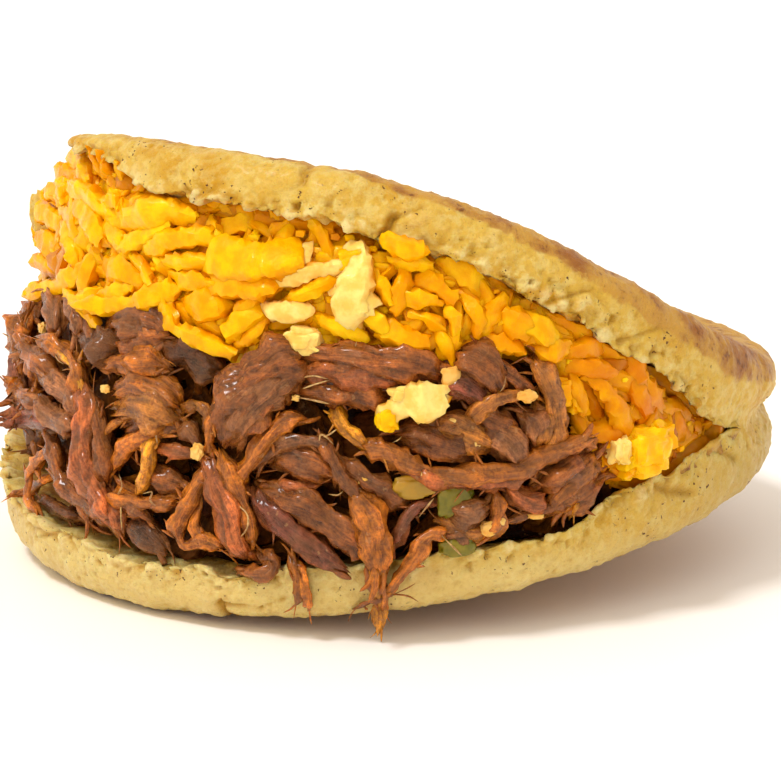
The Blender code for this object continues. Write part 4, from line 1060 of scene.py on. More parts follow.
# The pieces of beef that show best: colour, width and thickness in mm, then places in the
# picture in pixels, each with how far it stands out towards the camera in mm
BEEF_PIECES = (
    # dark lumps under the cheese at the left
    ("grey", 4.2, 3.4, ((48, 292, 0.0), (56, 312, 0.8), (58, 334, 0.4))),
    ("grey", 3.4, 2.8, ((68, 298, 0.2), (76, 316, 0.9), (80, 338, 0.4))),
    ("brown", 3.2, 2.6, ((84, 312, 0.0), (92, 332, 0.8), (104, 352, 0.2))),
    ("dark", 5.0, 3.6, ((84, 338, 0.0), (100, 346, 0.7), (122, 350, 0.0))),
    ("brown", 6.0, 4.2, ((112, 330, 0.0), (134, 322, 1.1), (160, 326, 0.6), (170, 338, -0.4))),
    ("brown", 3.4, 2.8, ((118, 342, 0.2), (140, 346, 0.9), (164, 340, 0.4))),
    ("dark", 4.6, 3.2, ((182, 352, -1.6), (204, 366, -1.0), (222, 372, -1.4))),
    ("dark", 4.2, 3.0, ((160, 346, -1.0), (186, 352, -0.4), (212, 352, -0.8))),
    # the frayed left side
    ("orange", 2.6, 2.2, ((24, 324, 0.6), (24, 342, 1.2), (30, 360, 0.9), (38, 382, 0.2))),
    ("brown", 3.6, 2.8, ((18, 350, 0.4), (30, 352, 1.3), (44, 366, 1.2), (52, 388, 0.3))),
    ("orange", 3.0, 2.4, ((40, 340, 0.2), (60, 348, 1.3), (76, 366, 1.6), (82, 396, 0.8))),
    ("gold", 1.6, 1.3, ((58, 352, 1.6), (74, 366, 2.2), (80, 384, 2.0), (82, 400, 1.0))),
    ("orange", 2.6, 2.0, ((4, 379, 0.6), (16, 390, 1.2), (28, 396, 0.8), (44, 392, 0.0))),
    ("brown", 2.8, 2.2, ((8, 402, 0.4), (20, 400, 0.9), (36, 404, 0.9), (52, 400, 0.0))),
    ("purple", 2.6, 2.0, ((4, 417, 1.0), (22, 416, 1.6), (44, 416, 1.4), (76, 420, 0.2))),
    ("purple", 2.0, 1.6, ((6, 424, 0.8), (24, 422, 1.3), (46, 424, 1.0), (70, 430, 0.0))),
    ("grey", 3.2, 2.6, ((40, 398, 0.6), (50, 414, 1.5), (66, 424, 1.6), (78, 432, 0.4))),
    ("grey", 3.8, 2.8, ((44, 376, 0.0), (60, 388, 1.0), (74, 400, 0.9), (80, 416, 0.1))),
    ("brown", 3.0, 2.4, ((46, 436, 0.2), (52, 450, 0.9), (58, 466, 0.8), (62, 484, -0.2))),
    ("orange", 1.5, 1.3, ((58, 444, 0.8), (42, 456, 1.4), (30, 472, 1.9), (28, 496, 1.6),
                          (40, 515, 0.2))),
    ("orange", 1.7, 1.4, ((16, 495, 1.2), (30, 489, 1.8), (44, 481, 1.6), (60, 472, 0.6))),
    ("brown", 2.9, 2.3, ((54, 468, 0.8), (70, 490, 1.6), (94, 510, 1.4), (110, 522, 0.2))),
    ("dark", 2.2, 1.8, ((42, 498, 0.4), (56, 508, 0.9), (82, 518, 0.4))),
    ("brown", 2.2, 1.8, ((72, 478, 0.0), (82, 500, 0.8), (90, 524, 0.0))),
    # the upright pink piece and what crosses it
    ("pink", 4.2, 3.2, ((84, 386, 0.6), (88, 412, 1.9), (84, 446, 2.2), (92, 478, 2.0),
                        (106, 506, 1.4), (117, 530, 0.4))),
    ("brown", 3.2, 2.6, ((92, 396, 0.6), (98, 426, 1.6), (104, 452, 1.6), (108, 480, 0.6))),
    ("orange", 2.2, 1.8, ((114, 470, 0.4), (124, 452, 2.0), (144, 438, 2.6), (166, 432, 1.8))),
    ("gold", 1.8, 1.5, ((158, 430, 1.4), (150, 448, 2.6), (146, 470, 2.6), (138, 494, 1.2))),
    ("pink", 2.3, 1.8, ((156, 448, 0.8), (176, 451, 1.6), (198, 455, 0.6))),
    ("orange", 2.4, 1.8, ((108, 500, 0.8), (130, 500, 1.7), (156, 504, 1.6), (182, 500, 0.4))),
    ("pink", 2.0, 1.6, ((104, 490, 0.8), (116, 512, 1.7), (122, 532, 0.8))),
    ("brown", 4.4, 3.0, ((146, 462, -0.6), (160, 478, 0.3), (184, 486, -0.5))),
    ("dark", 4.6, 3.0, ((132, 520, -0.4), (148, 534, 0.2), (166, 550, -0.4))),
    ("brown", 3.2, 2.4, ((120, 486, -0.2), (136, 506, 0.5), (150, 518, -0.3))),
    # the big fibrous orange piece
    ("orange", 4.6, 3.4, ((104, 366, 0.2), (124, 364, 1.2), (146, 362, 1.2), (168, 368, 0.2))),
    ("orange", 6.8, 4.4, ((116, 392, 0.4), (136, 384, 1.6), (158, 392, 1.7), (178, 406, 0.4))),
    ("tan", 6.2, 4.0, ((118, 412, 0.2), (138, 408, 1.5), (160, 412, 1.5), (178, 420, 0.2))),
    ("brown", 4.6, 3.2, ((126, 430, -0.2), (144, 426, 0.8), (164, 424, 0.8), (182, 430, -0.2))),
    ("tan", 2.0, 1.7, ((184, 408, 0.4), (196, 405, 1.4), (206, 414, 1.6), (208, 430, 0.8))),
    ("grey", 2.6, 2.0, ((178, 424, 0.0), (190, 432, 0.8), (200, 448, 0.5))),
    # the big smooth lump and the muscles right of it
    ("brown", 8.6, 5.4, ((308, 356, 0.0), (282, 366, 1.9), (256, 386, 2.5), (238, 410, 2.5),
                         (228, 440, 1.2))),
    ("grey", 6.4, 4.6, ((284, 372, 0.4), (262, 392, 2.9), (244, 414, 3.1), (236, 440, 1.4))),
    ("orange", 1.4, 1.2, ((256, 360, 1.4), (232, 386, 2.6), (216, 410, 2.8), (208, 436, 2.4),
                          (212, 456, 1.0))),
    ("orange", 2.1, 1.7, ((307, 420, 0.6), (288, 420, 1.8), (270, 436, 2.6), (248, 466, 2.2),
                          (236, 480, 0.6))),
    ("brown", 4.8, 3.6, ((300, 356, 0.2), (336, 358, 1.4), (376, 362, 1.7), (414, 366, 1.5),
                         (444, 374, 0.2))),
    ("pink", 3.4, 2.8, ((300, 372, 0.0), (336, 374, 1.1), (376, 376, 1.3), (410, 382, 0.6))),
    ("brown", 3.0, 2.4, ((296, 392, -0.4), (326, 394, 0.9), (358, 396, 1.2), (390, 402, 0.2))),
    ("dark", 2.6, 2.0, ((300, 384, -0.4), (330, 386, 0.4), (370, 388, 0.3))),
    # the middle of the heap
    ("orange", 3.2, 2.4, ((222, 452, 1.0), (232, 480, 2.0), (246, 512, 1.9), (252, 546, 0.8))),
    ("pink", 4.0, 3.0, ((208, 452, 0.6), (214, 480, 1.8), (226, 510, 1.9), (236, 540, 1.2),
                        (246, 556, 0.2))),
    ("orange", 2.2, 1.8, ((208, 468, 0.4), (190, 500, 1.5), (178, 526, 1.7), (184, 545, 1.6),
                          (206, 541, 1.6), (222, 548, 0.6))),
    ("orange", 2.0, 1.6, ((200, 502, 0.2), (195, 524, 1.0), (206, 540, 1.2), (220, 540, 0.2))),
    ("grey", 2.6, 2.2, ((256, 468, 0.2), (276, 446, 1.4), (300, 440, 1.8), (324, 446, 1.5),
                        (338, 472, 0.0))),
    ("brown", 5.6, 3.8, ((272, 462, -0.4), (292, 458, 0.8), (314, 464, 0.8), (330, 474, -0.4))),
    ("pink", 2.2, 1.8, ((272, 484, 0.2), (294, 488, 1.2), (318, 484, 0.6))),
    ("brown", 4.8, 3.6, ((262, 488, 0.2), (292, 500, 1.4), (322, 516, 1.7), (350, 536, 1.4),
                         (366, 552, 0.2))),
    ("purple", 4.6, 3.6, ((256, 488, 0.2), (268, 510, 1.3), (294, 534, 1.7), (322, 554, 1.7),
                          (344, 568, 0.8))),
    ("brown", 2.2, 1.8, ((258, 548, -0.2), (274, 562, 0.8), (262, 574, 1.2), (240, 568, 0.6))),
    ("orange", 1.3, 1.1, ((290, 552, 0.4), (297, 572, 1.3), (298, 592, 1.4), (296, 603, 0.8))),
    ("orange", 1.2, 1.0, ((294, 556, 0.4), (302, 576, 1.3), (307, 596, 1.3), (307, 606, 0.8))),
    # the piece that hangs over the rim
    ("brown", 2.0, 1.8, ((320, 436, 0.4), (334, 462, 2.0), (348, 484, 2.7), (360, 502, 2.4))),
    ("orange", 4.2, 3.2, ((352, 488, 1.4), (368, 514, 2.9), (375, 546, 3.1), (378, 574, 2.4))),
    ("gold", 1.7, 1.4, ((374, 560, 2.0), (377, 586, 2.5), (380, 608, 2.2), (379, 628, 1.4))),
    ("orange", 1.2, 1.0, ((380, 566, 1.6), (384, 592, 2.0), (384, 616, 1.4))),
    ("brown", 1.5, 1.3, ((370, 560, 1.4), (370, 580, 1.9), (376, 598, 1.6))),
    ("purple", 2.6, 2.2, ((438, 500, 0.6), (416, 508, 1.9), (402, 526, 2.3), (392, 546, 1.4))),
    ("orange", 2.5, 2.1, ((448, 532, 0.4), (428, 536, 1.9), (412, 560, 2.5), (398, 580, 2.2),
                          (388, 592, 1.2))),
    ("brown", 0.8, 0.7, ((356, 608, 0.6), (374, 601, 1.9), (398, 592, 1.0))),
    # the long curved piece from the middle to the right
    ("gold", 2.0, 1.7, ((334, 400, -0.8), (340, 418, 0.6), (354, 436, 1.4), (372, 448, 1.4))),
    ("orange", 2.8, 2.2, ((362, 446, 0.6), (386, 452, 1.9), (410, 464, 2.3), (440, 474, 2.4),
                          (480, 475, 2.4), (526, 468, 2.3), (556, 452, 1.9), (590, 438, 0.8))),
    ("pink", 2.3, 1.9, ((404, 470, 0.8), (440, 480, 1.9), (480, 481, 2.0), (520, 475, 1.5),
                        (546, 462, 0.4))),
    ("brown", 3.0, 2.3, ((338, 456, 0.2), (362, 476, 1.2), (388, 492, 1.2), (410, 504, 0.2))),
    ("brown", 5.4, 3.8, ((398, 436, 0.0), (424, 438, 1.2), (452, 446, 1.3), (478, 454, 0.2))),
    ("tan", 4.6, 3.4, ((420, 424, 0.0), (446, 424, 0.9), (470, 434, 0.9), (494, 448, 0.1))),
    # the upper right of the beef
    ("brown", 6.0, 4.2, ((452, 360, 0.0), (470, 364, 1.3), (488, 376, 1.3), (496, 392, 0.0))),
    ("purple", 5.0, 3.6, ((440, 396, 0.0), (456, 386, 1.0), (474, 394, 1.0), (486, 408, -0.2))),
    ("tan", 2.3, 1.9, ((464, 424, 0.4), (484, 406, 1.7), (508, 396, 2.0), (534, 394, 1.0))),
    ("brown", 3.0, 2.2, ((490, 366, 0.0), (508, 372, 0.9), (524, 384, 0.9), (532, 396, 0.0))),
    ("tan", 2.5, 2.1, ((533, 358, 0.2), (546, 380, 1.7), (556, 408, 2.0), (556, 434, 1.5),
                       (548, 450, 0.4))),
    ("tan", 2.0, 1.6, ((540, 356, 0.0), (553, 384, 1.0), (562, 412, 1.2), (562, 436, 0.3))),
    ("grey", 3.4, 2.6, ((520, 412, -0.4), (534, 424, 0.5), (536, 446, -0.2))),
    ("tan", 3.4, 2.6, ((536, 402, -0.2), (544, 424, 0.8), (540, 448, 0.2))),
    ("grey", 4.8, 3.4, ((484, 430, 0.0), (502, 438, 0.9), (514, 454, 0.7), (516, 466, 0.0))),
    ("brown", 4.2, 3.0, ((476, 416, -0.2), (496, 422, 0.6), (516, 432, 0.3))),
    # the block at the right
    ("orange", 4.0, 3.0, ((548, 512, -0.2), (566, 490, 1.1), (588, 468, 1.2), (600, 456, 0.0))),
    ("brown", 4.4, 3.2, ((536, 488, 0.0), (556, 476, 1.3), (576, 462, 1.2), (590, 452, 0.1))),
    ("brown", 4.4, 3.0, ((560, 508, -0.4), (580, 494, 0.6), (600, 474, 0.2))),
    ("pink", 3.6, 2.8, ((504, 484, 0.0), (516, 496, 1.0), (534, 502, 0.7), (544, 500, -0.2))),
    ("orange", 2.5, 2.0, ((492, 484, 0.2), (498, 506, 1.3), (494, 524, 1.2), (486, 536, 0.4))),
    ("brown", 1.6, 1.3, ((510, 520, 0.2), (536, 512, 1.0), (562, 504, 0.8), (582, 500, 0.0))),
    ("gold", 1.2, 1.0, ((580, 498, 0.4), (578, 506, 0.9), (574, 514, 0.4))),
    ("tan", 3.0, 2.2, ((440, 520, 0.2), (456, 526, 1.2), (472, 530, 1.0), (486, 526, 0.0))),
    ("grey", 4.4, 2.8, ((444, 508, 0.2), (460, 514, 1.3), (476, 512, 0.9), (488, 504, -0.2))),
    ("grey", 3.6, 2.4, ((446, 540, 0.0), (462, 538, 0.9), (478, 534, 0.4))),
)

# The shreds of cheese that show best, in the same way
CHEESE_PIECES = (
    # the upper left corner
    ("mid", 3.6, 2.8, ((84, 156, 0.8), (87, 172, 1.4), (90, 192, 0.8))),
    ("deep", 3.6, 2.6, ((92, 154, -0.6), (104, 166, -0.2), (112, 182, 0.0))),
    ("mid", 3.4, 2.4, ((118, 166, -0.6), (126, 180, -0.1), (132, 196, 0.0))),
    ("deep", 3.6, 2.6, ((62, 172, 0.2), (72, 178, 0.9), (84, 184, 0.4))),
    ("mid", 3.4, 2.6, ((52, 192, 0.2), (64, 196, 1.1), (78, 206, 0.8))),
    ("light", 3.2, 2.4, ((76, 188, 0.8), (92, 198, 1.7), (110, 212, 1.4))),
    ("mid", 3.0, 2.3, ((82, 204, 0.4), (92, 220, 1.5), (102, 238, 0.9))),
    ("deep", 3.2, 2.4, ((104, 160, -0.4), (112, 172, 0.2), (122, 186, 0.0))),
    ("shade", 3.6, 2.4, ((118, 172, -0.6), (128, 184, 0.0), (136, 192, -0.4))),
    ("mid", 3.4, 2.6, ((44, 214, 0.0), (58, 220, 0.8), (72, 232, 0.6))),
    ("deep", 3.4, 2.6, ((40, 238, 0.0), (54, 244, 0.9), (68, 256, 0.5))),
    ("mid", 2.8, 2.2, ((66, 226, 0.4), (72, 244, 1.2), (76, 262, 0.8))),
    ("deep", 3.0, 2.4, ((38, 262, 0.0), (52, 268, 0.8), (64, 278, 0.4))),
    ("mid", 2.8, 2.2, ((30, 292, 0.2), (44, 290, 0.9), (58, 286, 0.6))),
    # the left middle
    ("mid", 5.2, 3.6, ((130, 206, 0.2), (140, 202, 1.3), (150, 198, 0.6))),
    ("light", 5.4, 3.6, ((134, 224, 0.4), (150, 216, 1.7), (170, 212, 1.6), (188, 218, 0.6))),
    ("mid", 3.2, 2.6, ((108, 226, 0.2), (118, 238, 1.2), (128, 252, 0.8))),
    ("light", 3.0, 2.4, ((126, 244, 0.6), (144, 238, 1.6), (164, 228, 1.0))),
    ("mid", 3.2, 2.6, ((156, 246, 0.6), (180, 238, 1.9), (210, 237, 1.2))),
    ("light", 2.6, 2.1, ((166, 261, 0.4), (188, 261, 1.6), (212, 262, 0.8))),
    ("mid", 2.6, 2.2, ((211, 220, 0.2), (215, 232, 1.3), (222, 246, 0.8))),
    ("mid", 2.9, 2.3, ((60, 286, 0.4), (78, 274, 1.5), (96, 258, 0.8))),
    ("deep", 2.9, 2.3, ((98, 252, 0.4), (90, 272, 1.4), (84, 294, 0.9))),
    ("mid", 3.0, 2.3, ((102, 300, 0.8), (116, 292, 1.9), (134, 282, 1.2))),
    ("deep", 3.8, 2.8, ((112, 266, 0.0), (126, 272, 1.2), (140, 280, 0.6))),
    ("light", 2.6, 2.1, ((132, 256, 0.6), (142, 266, 1.5), (150, 282, 1.0))),
    ("mid", 3.2, 2.5, ((90, 302, 0.8), (122, 306, 2.1), (152, 298, 1.9), (166, 290, 0.8))),
    ("mid", 2.6, 2.2, ((70, 298, 0.4), (82, 306, 1.4), (94, 322, 1.2))),
    ("light", 2.3, 1.9, ((72, 306, 0.4), (84, 300, 1.7), (98, 292, 1.0))),
    ("mid", 2.7, 2.2, ((168, 294, 0.4), (168, 312, 1.9), (176, 328, 2.3), (198, 338, 2.3),
                       (226, 348, 1.6))),
    ("deep", 5.6, 3.6, ((192, 302, 0.2), (208, 306, 1.4), (224, 304, 0.6))),
    ("mid", 3.6, 2.8, ((256, 312, 0.8), (244, 322, 1.8), (230, 330, 1.4))),
    ("deep", 3.8, 3.0, ((240, 344, 0.6), (252, 334, 1.6), (262, 320, 1.0))),
    # the big flat piece in the middle
    ("mid", 7.4, 4.0, ((224, 254, 0.4), (248, 262, 2.3), (270, 262, 2.3), (292, 256, 0.8))),
    ("deep", 6.6, 3.6, ((216, 278, 0.2), (240, 282, 1.9), (264, 280, 1.6), (280, 276, 0.4))),
    ("mid", 4.0, 3.0, ((178, 276, 0.2), (196, 282, 1.4), (214, 284, 0.8))),
    ("shade", 4.0, 2.6, ((186, 222, -0.8), (204, 226, -0.2), (216, 230, -0.6))),
    ("deep", 3.0, 2.3, ((264, 290, 0.8), (252, 300, 1.6), (244, 310, 1.0))),
    # pale pieces right of it
    ("pale", 2.9, 2.3, ((270, 277, 0.8), (292, 275, 2.3), (320, 270, 2.1), (334, 268, 1.0))),
    ("pale", 2.4, 2.0, ((306, 250, 0.4), (303, 262, 1.7), (298, 272, 1.6))),
    ("light", 3.0, 2.4, ((290, 300, 0.8), (308, 292, 2.1), (330, 282, 1.4))),
    ("pale", 3.4, 2.8, ((268, 308, 0.8), (284, 312, 2.1), (304, 310, 1.6))),
    ("pale", 4.4, 3.2, ((356, 256, 0.6), (358, 276, 2.2), (352, 298, 2.3), (350, 318, 1.2))),
    ("pale", 3.0, 2.4, ((340, 290, 0.8), (354, 296, 2.7), (368, 304, 1.8))),
    ("light", 3.4, 2.7, ((320, 318, 0.4), (338, 326, 1.8), (356, 334, 1.0))),
    ("light", 3.0, 2.4, ((366, 312, 0.6), (378, 322, 1.8), (388, 336, 1.0))),
    ("mid", 2.6, 2.1, ((372, 276, 0.4), (382, 286, 1.5), (390, 300, 0.9))),
    # the right half of the heap
    ("mid", 3.4, 2.6, ((388, 240, 0.2), (404, 248, 1.5), (420, 250, 0.9))),
    ("light", 2.8, 2.2, ((398, 262, 0.4), (412, 262, 1.7), (428, 266, 0.8))),
    ("deep", 2.8, 2.3, ((404, 272, 0.2), (402, 290, 1.5), (396, 306, 0.8))),
    ("mid", 3.0, 2.4, ((404, 300, 0.6), (420, 298, 1.9), (436, 300, 1.2))),
    ("deep", 3.2, 2.6, ((424, 276, 0.2), (438, 286, 1.4), (452, 298, 0.8))),
    ("mid", 2.6, 2.2, ((414, 314, 0.6), (428, 318, 1.7), (440, 326, 0.9))),
    ("light", 2.5, 2.0, ((444, 308, 0.6), (454, 318, 1.7), (452, 332, 1.4))),
    ("mid", 2.7, 2.2, ((438, 332, 0.6), (446, 344, 1.6), (450, 358, 1.3))),
    ("deep", 3.4, 2.7, ((386, 330, 0.2), (404, 338, 1.4), (424, 342, 0.8))),
    ("deep", 2.8, 2.3, ((466, 300, 0.2), (476, 312, 1.3), (480, 328, 0.8))),
    ("mid", 3.2, 2.6, ((484, 328, 0.2), (492, 314, 1.0), (500, 302, 0.2))),
    ("mid", 4.6, 3.4, ((506, 318, 0.2), (520, 326, 1.5), (534, 334, 0.9))),
    ("light", 4.4, 3.2, ((524, 322, 0.4), (538, 330, 1.9), (552, 340, 1.0))),
    ("mid", 4.2, 3.0, ((538, 346, 0.4), (552, 350, 1.5), (566, 346, 0.6))),
    ("deep", 3.0, 2.3, ((486, 340, 0.2), (500, 344, 1.1), (516, 348, 0.5))),
    ("deep", 3.2, 2.4, ((566, 352, 0.0), (582, 350, 1.1), (598, 344, 0.2))),
    ("deep", 3.4, 2.6, ((570, 366, 0.0), (590, 368, 1.0), (604, 374, 0.4))),
    # the narrow end
    ("mid", 2.5, 2.0, ((572, 378, 0.4), (578, 394, 1.4), (584, 410, 0.8))),
    ("mid", 3.0, 2.3, ((590, 380, 0.4), (606, 392, 1.7), (616, 408, 1.7), (622, 426, 0.6))),
    ("deep", 3.6, 2.6, ((618, 356, 0.0), (632, 368, 1.1), (640, 386, 0.6))),
    ("deep", 3.0, 2.4, ((632, 384, -0.2), (640, 400, 0.8), (646, 414, 0.2))),
    ("shade", 3.0, 2.4, ((660, 376, -0.4), (668, 394, 0.2), (678, 408, -0.4))),
    ("mid", 1.9, 1.6, ((654, 412, 0.8), (650, 424, 1.9), (642, 436, 1.2))),
    ("light", 2.0, 1.7, ((668, 418, 0.8), (666, 432, 2.0), (660, 446, 1.2))),
)

# Solid lumps of cheese: colour, place in the picture and lift, width, height, thickness
CHEESE_LUMPS = (
    ("light", (640, 450, 1.4), (8.4, 7.0, 6.0), 4.0),
    ("mid", (656, 438, 1.6), (5.4, 5.6, 4.6), 9.0),
    ("pale", (619, 450, 2.0), (3.0, 4.4, 3.4), 14.0),
    ("mid", (632, 462, 1.2), (5.6, 4.6, 4.6), 19.0),
    ("pale", (303, 341, 2.0), (5.0, 3.5, 3.2), 24.0),
    ("light", (352, 262, 1.2), (4.2, 3.4, 3.4), 29.0),
    ("mid", (120, 200, 0.4), (4.0, 3.6, 3.2), 34.0),
    ("deep", (560, 392, 0.0), (3.4, 4.4, 3.0), 39.0),
    ("mid", (576, 402, 0.4), (2.6, 3.2, 2.6), 44.0),
    ("mid", (46, 228, 0.0), (5.0, 6.0, 4.4), 49.0),
    ("mid", (56, 204, 0.0), (5.0, 5.4, 4.0), 54.0),
    ("mid", (70, 190, 0.2), (4.6, 4.4, 3.6), 59.0),
)

# Small pale bits on the beef: place in the picture and lift, width, height, thickness
BITS = (
    ((451, 378, 2.2), (3.1, 3.3, 1.4), 3.0), ((492, 360, 2.0), (1.7, 3.6, 1.4), 7.0),
    ((527, 396, 2.8), (3.0, 1.7, 1.4), 11.0), ((488, 529, 2.0), (2.6, 2.2, 1.8), 15.0),
    ((498, 522, 1.8), (2.0, 1.6, 1.4), 19.0), ((105, 389, 2.4), (1.7, 1.3, 1.0), 23.0),
    ((197, 452, 2.4), (1.9, 2.3, 1.3), 27.0), ((364, 481, 1.9), (1.5, 1.2, 1.0), 31.0),
    ((296, 398, 2.2), (1.2, 0.9, 0.8), 35.0), ((452, 422, 2.0), (1.7, 1.2, 1.0), 39.0),
    ((478, 440, 1.8), (1.6, 1.9, 1.2), 43.0), ((536, 516, 1.6), (2.4, 0.9, 0.9), 47.0),
    ((42, 328, 0.6), (1.6, 1.6, 1.2), 51.0), ((424, 474, 2.8), (1.3, 0.9, 0.8), 55.0),
)

# Fine light threads between the strands: radius in mm, then places in the picture
THREADS = (
    (0.13, ((300, 378, 2.2), (314, 376, 3.2), (328, 379, 2.2))),
    (0.12, ((296, 397, 2.6), (312, 400, 3.2), (330, 404, 2.2))),
    (0.13, ((302, 389, 2.6), (316, 384, 3.0), (330, 380, 2.2))),
    (0.12, ((352, 352, 1.6), (355, 347, 2.6), (357, 340, 1.8))),
    (0.14, ((322, 438, 1.4), (330, 434, 3.2), (337, 429, 2.8))),
    (0.14, ((319, 448, 1.8), (320, 436, 3.0), (325, 436, 2.6), (334, 445, 1.6))),
    (0.13, ((328, 494, 2.0), (338, 495, 3.0), (345, 489, 2.4))),
    (0.13, ((234, 502, 2.8), (247, 514, 3.8), (247, 528, 3.4), (238, 540, 2.6))),
    (0.12, ((119, 474, 2.8), (122, 486, 3.4), (118, 496, 2.8), (124, 504, 2.6))),
    (0.13, ((121, 502, 2.2), (121, 516, 3.0), (122, 530, 2.6))),
    (0.12, ((142, 494, 3.0), (152, 492, 3.6), (150, 500, 3.2), (156, 506, 2.8))),
    (0.12, ((160, 402, 2.6), (158, 418, 3.4), (156, 434, 3.4), (158, 446, 2.8))),
    (0.12, ((148, 352, 1.4), (152, 350, 2.2), (156, 345, 1.6))),
    (0.13, ((54, 352, 2.4), (58, 360, 3.0), (64, 364, 2.4))),
    (0.13, ((480, 484, 2.8), (484, 476, 3.2), (482, 470, 3.0))),
    (0.12, ((500, 392, 2.6), (504, 386, 3.2), (506, 376, 2.4))),
    (0.12, ((392, 443, 2.4), (398, 440, 3.0), (402, 436, 2.2))),
    (0.20, ((2, 333, 0.6), (10, 337, 1.0), (18, 342, 1.0), (26, 348, 0.8))),
    (0.18, ((18, 321, 1.0), (22, 325, 1.2), (25, 334, 1.2))),
    (0.16, ((28, 318, 1.0), (26, 325, 1.2), (24, 334, 1.2))),
    (0.12, ((440, 534, 2.2), (452, 546, 2.9), (462, 556, 2.2))),
    (0.12, ((418, 518, 2.2), (426, 508, 3.0), (434, 498, 2.2))),
)

# The fine threads' points and sides, their seed for each mm of radius, and two colours
THREAD_POINTS = 14
THREAD_SIDES = 5
THREAD_SEED = 90.0
THREAD_COLOUR = np.array((0.62, 0.36, 0.13))
BIT_COLOUR = (0.84, 0.47, 0.10)

# The crumb of cheese on the beef, and the vegetables: name, slot, node, place in the
# picture, width, height and thickness, the tint of its points and a seed
CRUMB_LINE = ((392, 414, 2.4), (408, 404, 3.4), (426, 402, 3.4), (438, 398, 2.6))
VEGETABLE_PIECES = (
    ("pepper_high", "green_pepper", "pepper_piece_1", (455, 499, 1.2), (5.4, 5.6, 2.6),
     (0.20, 0.19, 0.03), 6.0),
    ("pepper_low", "green_pepper", "pepper_piece_2", (458, 547, 1.2), (5.0, 2.8, 2.2),
     (0.20, 0.19, 0.03), 7.0),
    ("onion_slice", "stewed_onion", "onion_piece", (414, 487, 1.4), (6.4, 3.4, 2.4),
     (0.4, 0.25, 0.05), 9.0),
)

# The dense hearts of the two heaps, coloured as painted shade that shows in the gaps between their
# loose pieces, near black for the beef: mm behind the front, colour, roughness and seed
BEEF_HEART = {"sunk": 5.0, "tint": (0.016, 0.004, 0.0015), "rough": 1.2, "seed": 61.0}
CHEESE_HEART = {"sunk": 2.0, "tint": CHEESE["shade"], "rough": 1.5, "seed": 67.0}
BACKING_COLUMNS = 220
BACKING_ROWS = 26
BACKING_DEPTHS = (0.6, 0.12)

# Linear colours of the bread, and how much of each field's colour shows; hollow is painted shade in
# the pits, flake is partly the pale crumb's own colour and partly painted highlight on raised
# crumbs, and the field at the lower right end is painted shade
BREAD = {"cream": (0.69, 0.435, 0.060), "ochre": (0.59, 0.300, 0.010), "pale": (0.75, 0.59, 0.19),
         "lower": (0.76, 0.62, 0.26), "hollow": (0.54, 0.27, 0.008), "flake": (0.83, 0.68, 0.31),
         "dull": (0.46, 0.33, 0.105), "grain": (0.50, 0.27, 0.04), "speck": (0.10, 0.028, 0.005),
         "toast": (0.57, 0.30, 0.04), "dark_toast": (0.33, 0.118, 0.018),
         "scorch": (0.15, 0.045, 0.008), "crack": (0.48, 0.25, 0.02)}
BREAD_FIELDS = (("lower", 0.55), ("hollow", 0.75), ("flake", 0.75), ("dull", 0.65))

# Two linear colours of each vegetable
VEGETABLES = {"green_pepper": ((0.115, 0.115, 0.004), (0.24, 0.18, 0.008)),
              "stewed_onion": ((0.48, 0.24, 0.010), (0.36, 0.21, 0.018))}

# How the beef's pattern is stretched along its fibres
FIBRE_STRETCH = (0.32, 3.6, 3.6)

# What each shader is set to, then the strength and distance of its fine relief
SHADER_INPUTS = ("Roughness", "Specular IOR Level", "Specular Tint", "Coat Weight",
                 "Coat Roughness", "Subsurface Weight", "Subsurface Radius", "Subsurface Scale")
WETTED = ("Specular IOR Level", "Coat Weight")
SHADERS = {
    "bread": (0.40, 0.32, (1.0, 0.85, 0.6, 1.0), 0.10, 0.22, 0.3, (1.0, 0.55, 0.15), 0.0025,
              0.85, 0.0008),
    "beef": (0.27, 0.65, (1.0, 0.70, 0.42, 1.0), 0.35, 0.14, 0.22, (1.0, 0.35, 0.1), 0.0012,
             1.0, 0.0008),
    "cheese": (0.22, 0.30, (1.0, 0.80, 0.12, 1.0), 0.07, 0.06, 0.3, (1.0, 0.7, 0.2), 0.0010,
               0.4, 0.0005),
    "vegetable": (0.28, 0.3, (1.0, 1.0, 1.0, 1.0), 0.12, 0.12, 0.25, (1.0, 0.9, 0.3), 0.0015,
                  0.25, 0.0004),
}

# The studio: each light's name, direction, strength, softness in degrees and colour
SUNS = (("key", (0.42, 0.30, -1.0), 1.65, 12.0, (0.98, 0.99, 1.0)),
        ("front", (0.35, 0.90, -0.55), 0.30, 40.0, (1.0, 0.97, 0.92)))
SURROUND_COLOUR = (1.0, 0.92, 0.83, 1.0)
SURROUND_STRENGTH = 0.94
FLOOR_COLOUR = (0.98, 0.95, 0.915, 1.0)
FLOOR_HALF_WIDTH = 4.0
FLOOR_DROP = 0.0002
CAMERA_CLIP = (0.01, 20.0)

# Share of their width that the named strands keep, so that dark gaps stay open
SLIM = 0.93


def named_beef(heap, picture):
    """The pieces of beef that show best."""
    draw = random.Random(41)
    for colour, width, thickness, places in BEEF_PIECES:
        # A random tone for each piece, and painted light that brightens the pieces at the left of
        # the picture
        tone_and_painted_light = draw.uniform(0.8, 1.3) + 0.4 * float(smooth((150.0 - places[0][0]) / 90.0))
        meat(heap, picture.line(places), width * SLIM, thickness, np.array(BEEF[colour]) * tone_and_painted_light,
             draw)


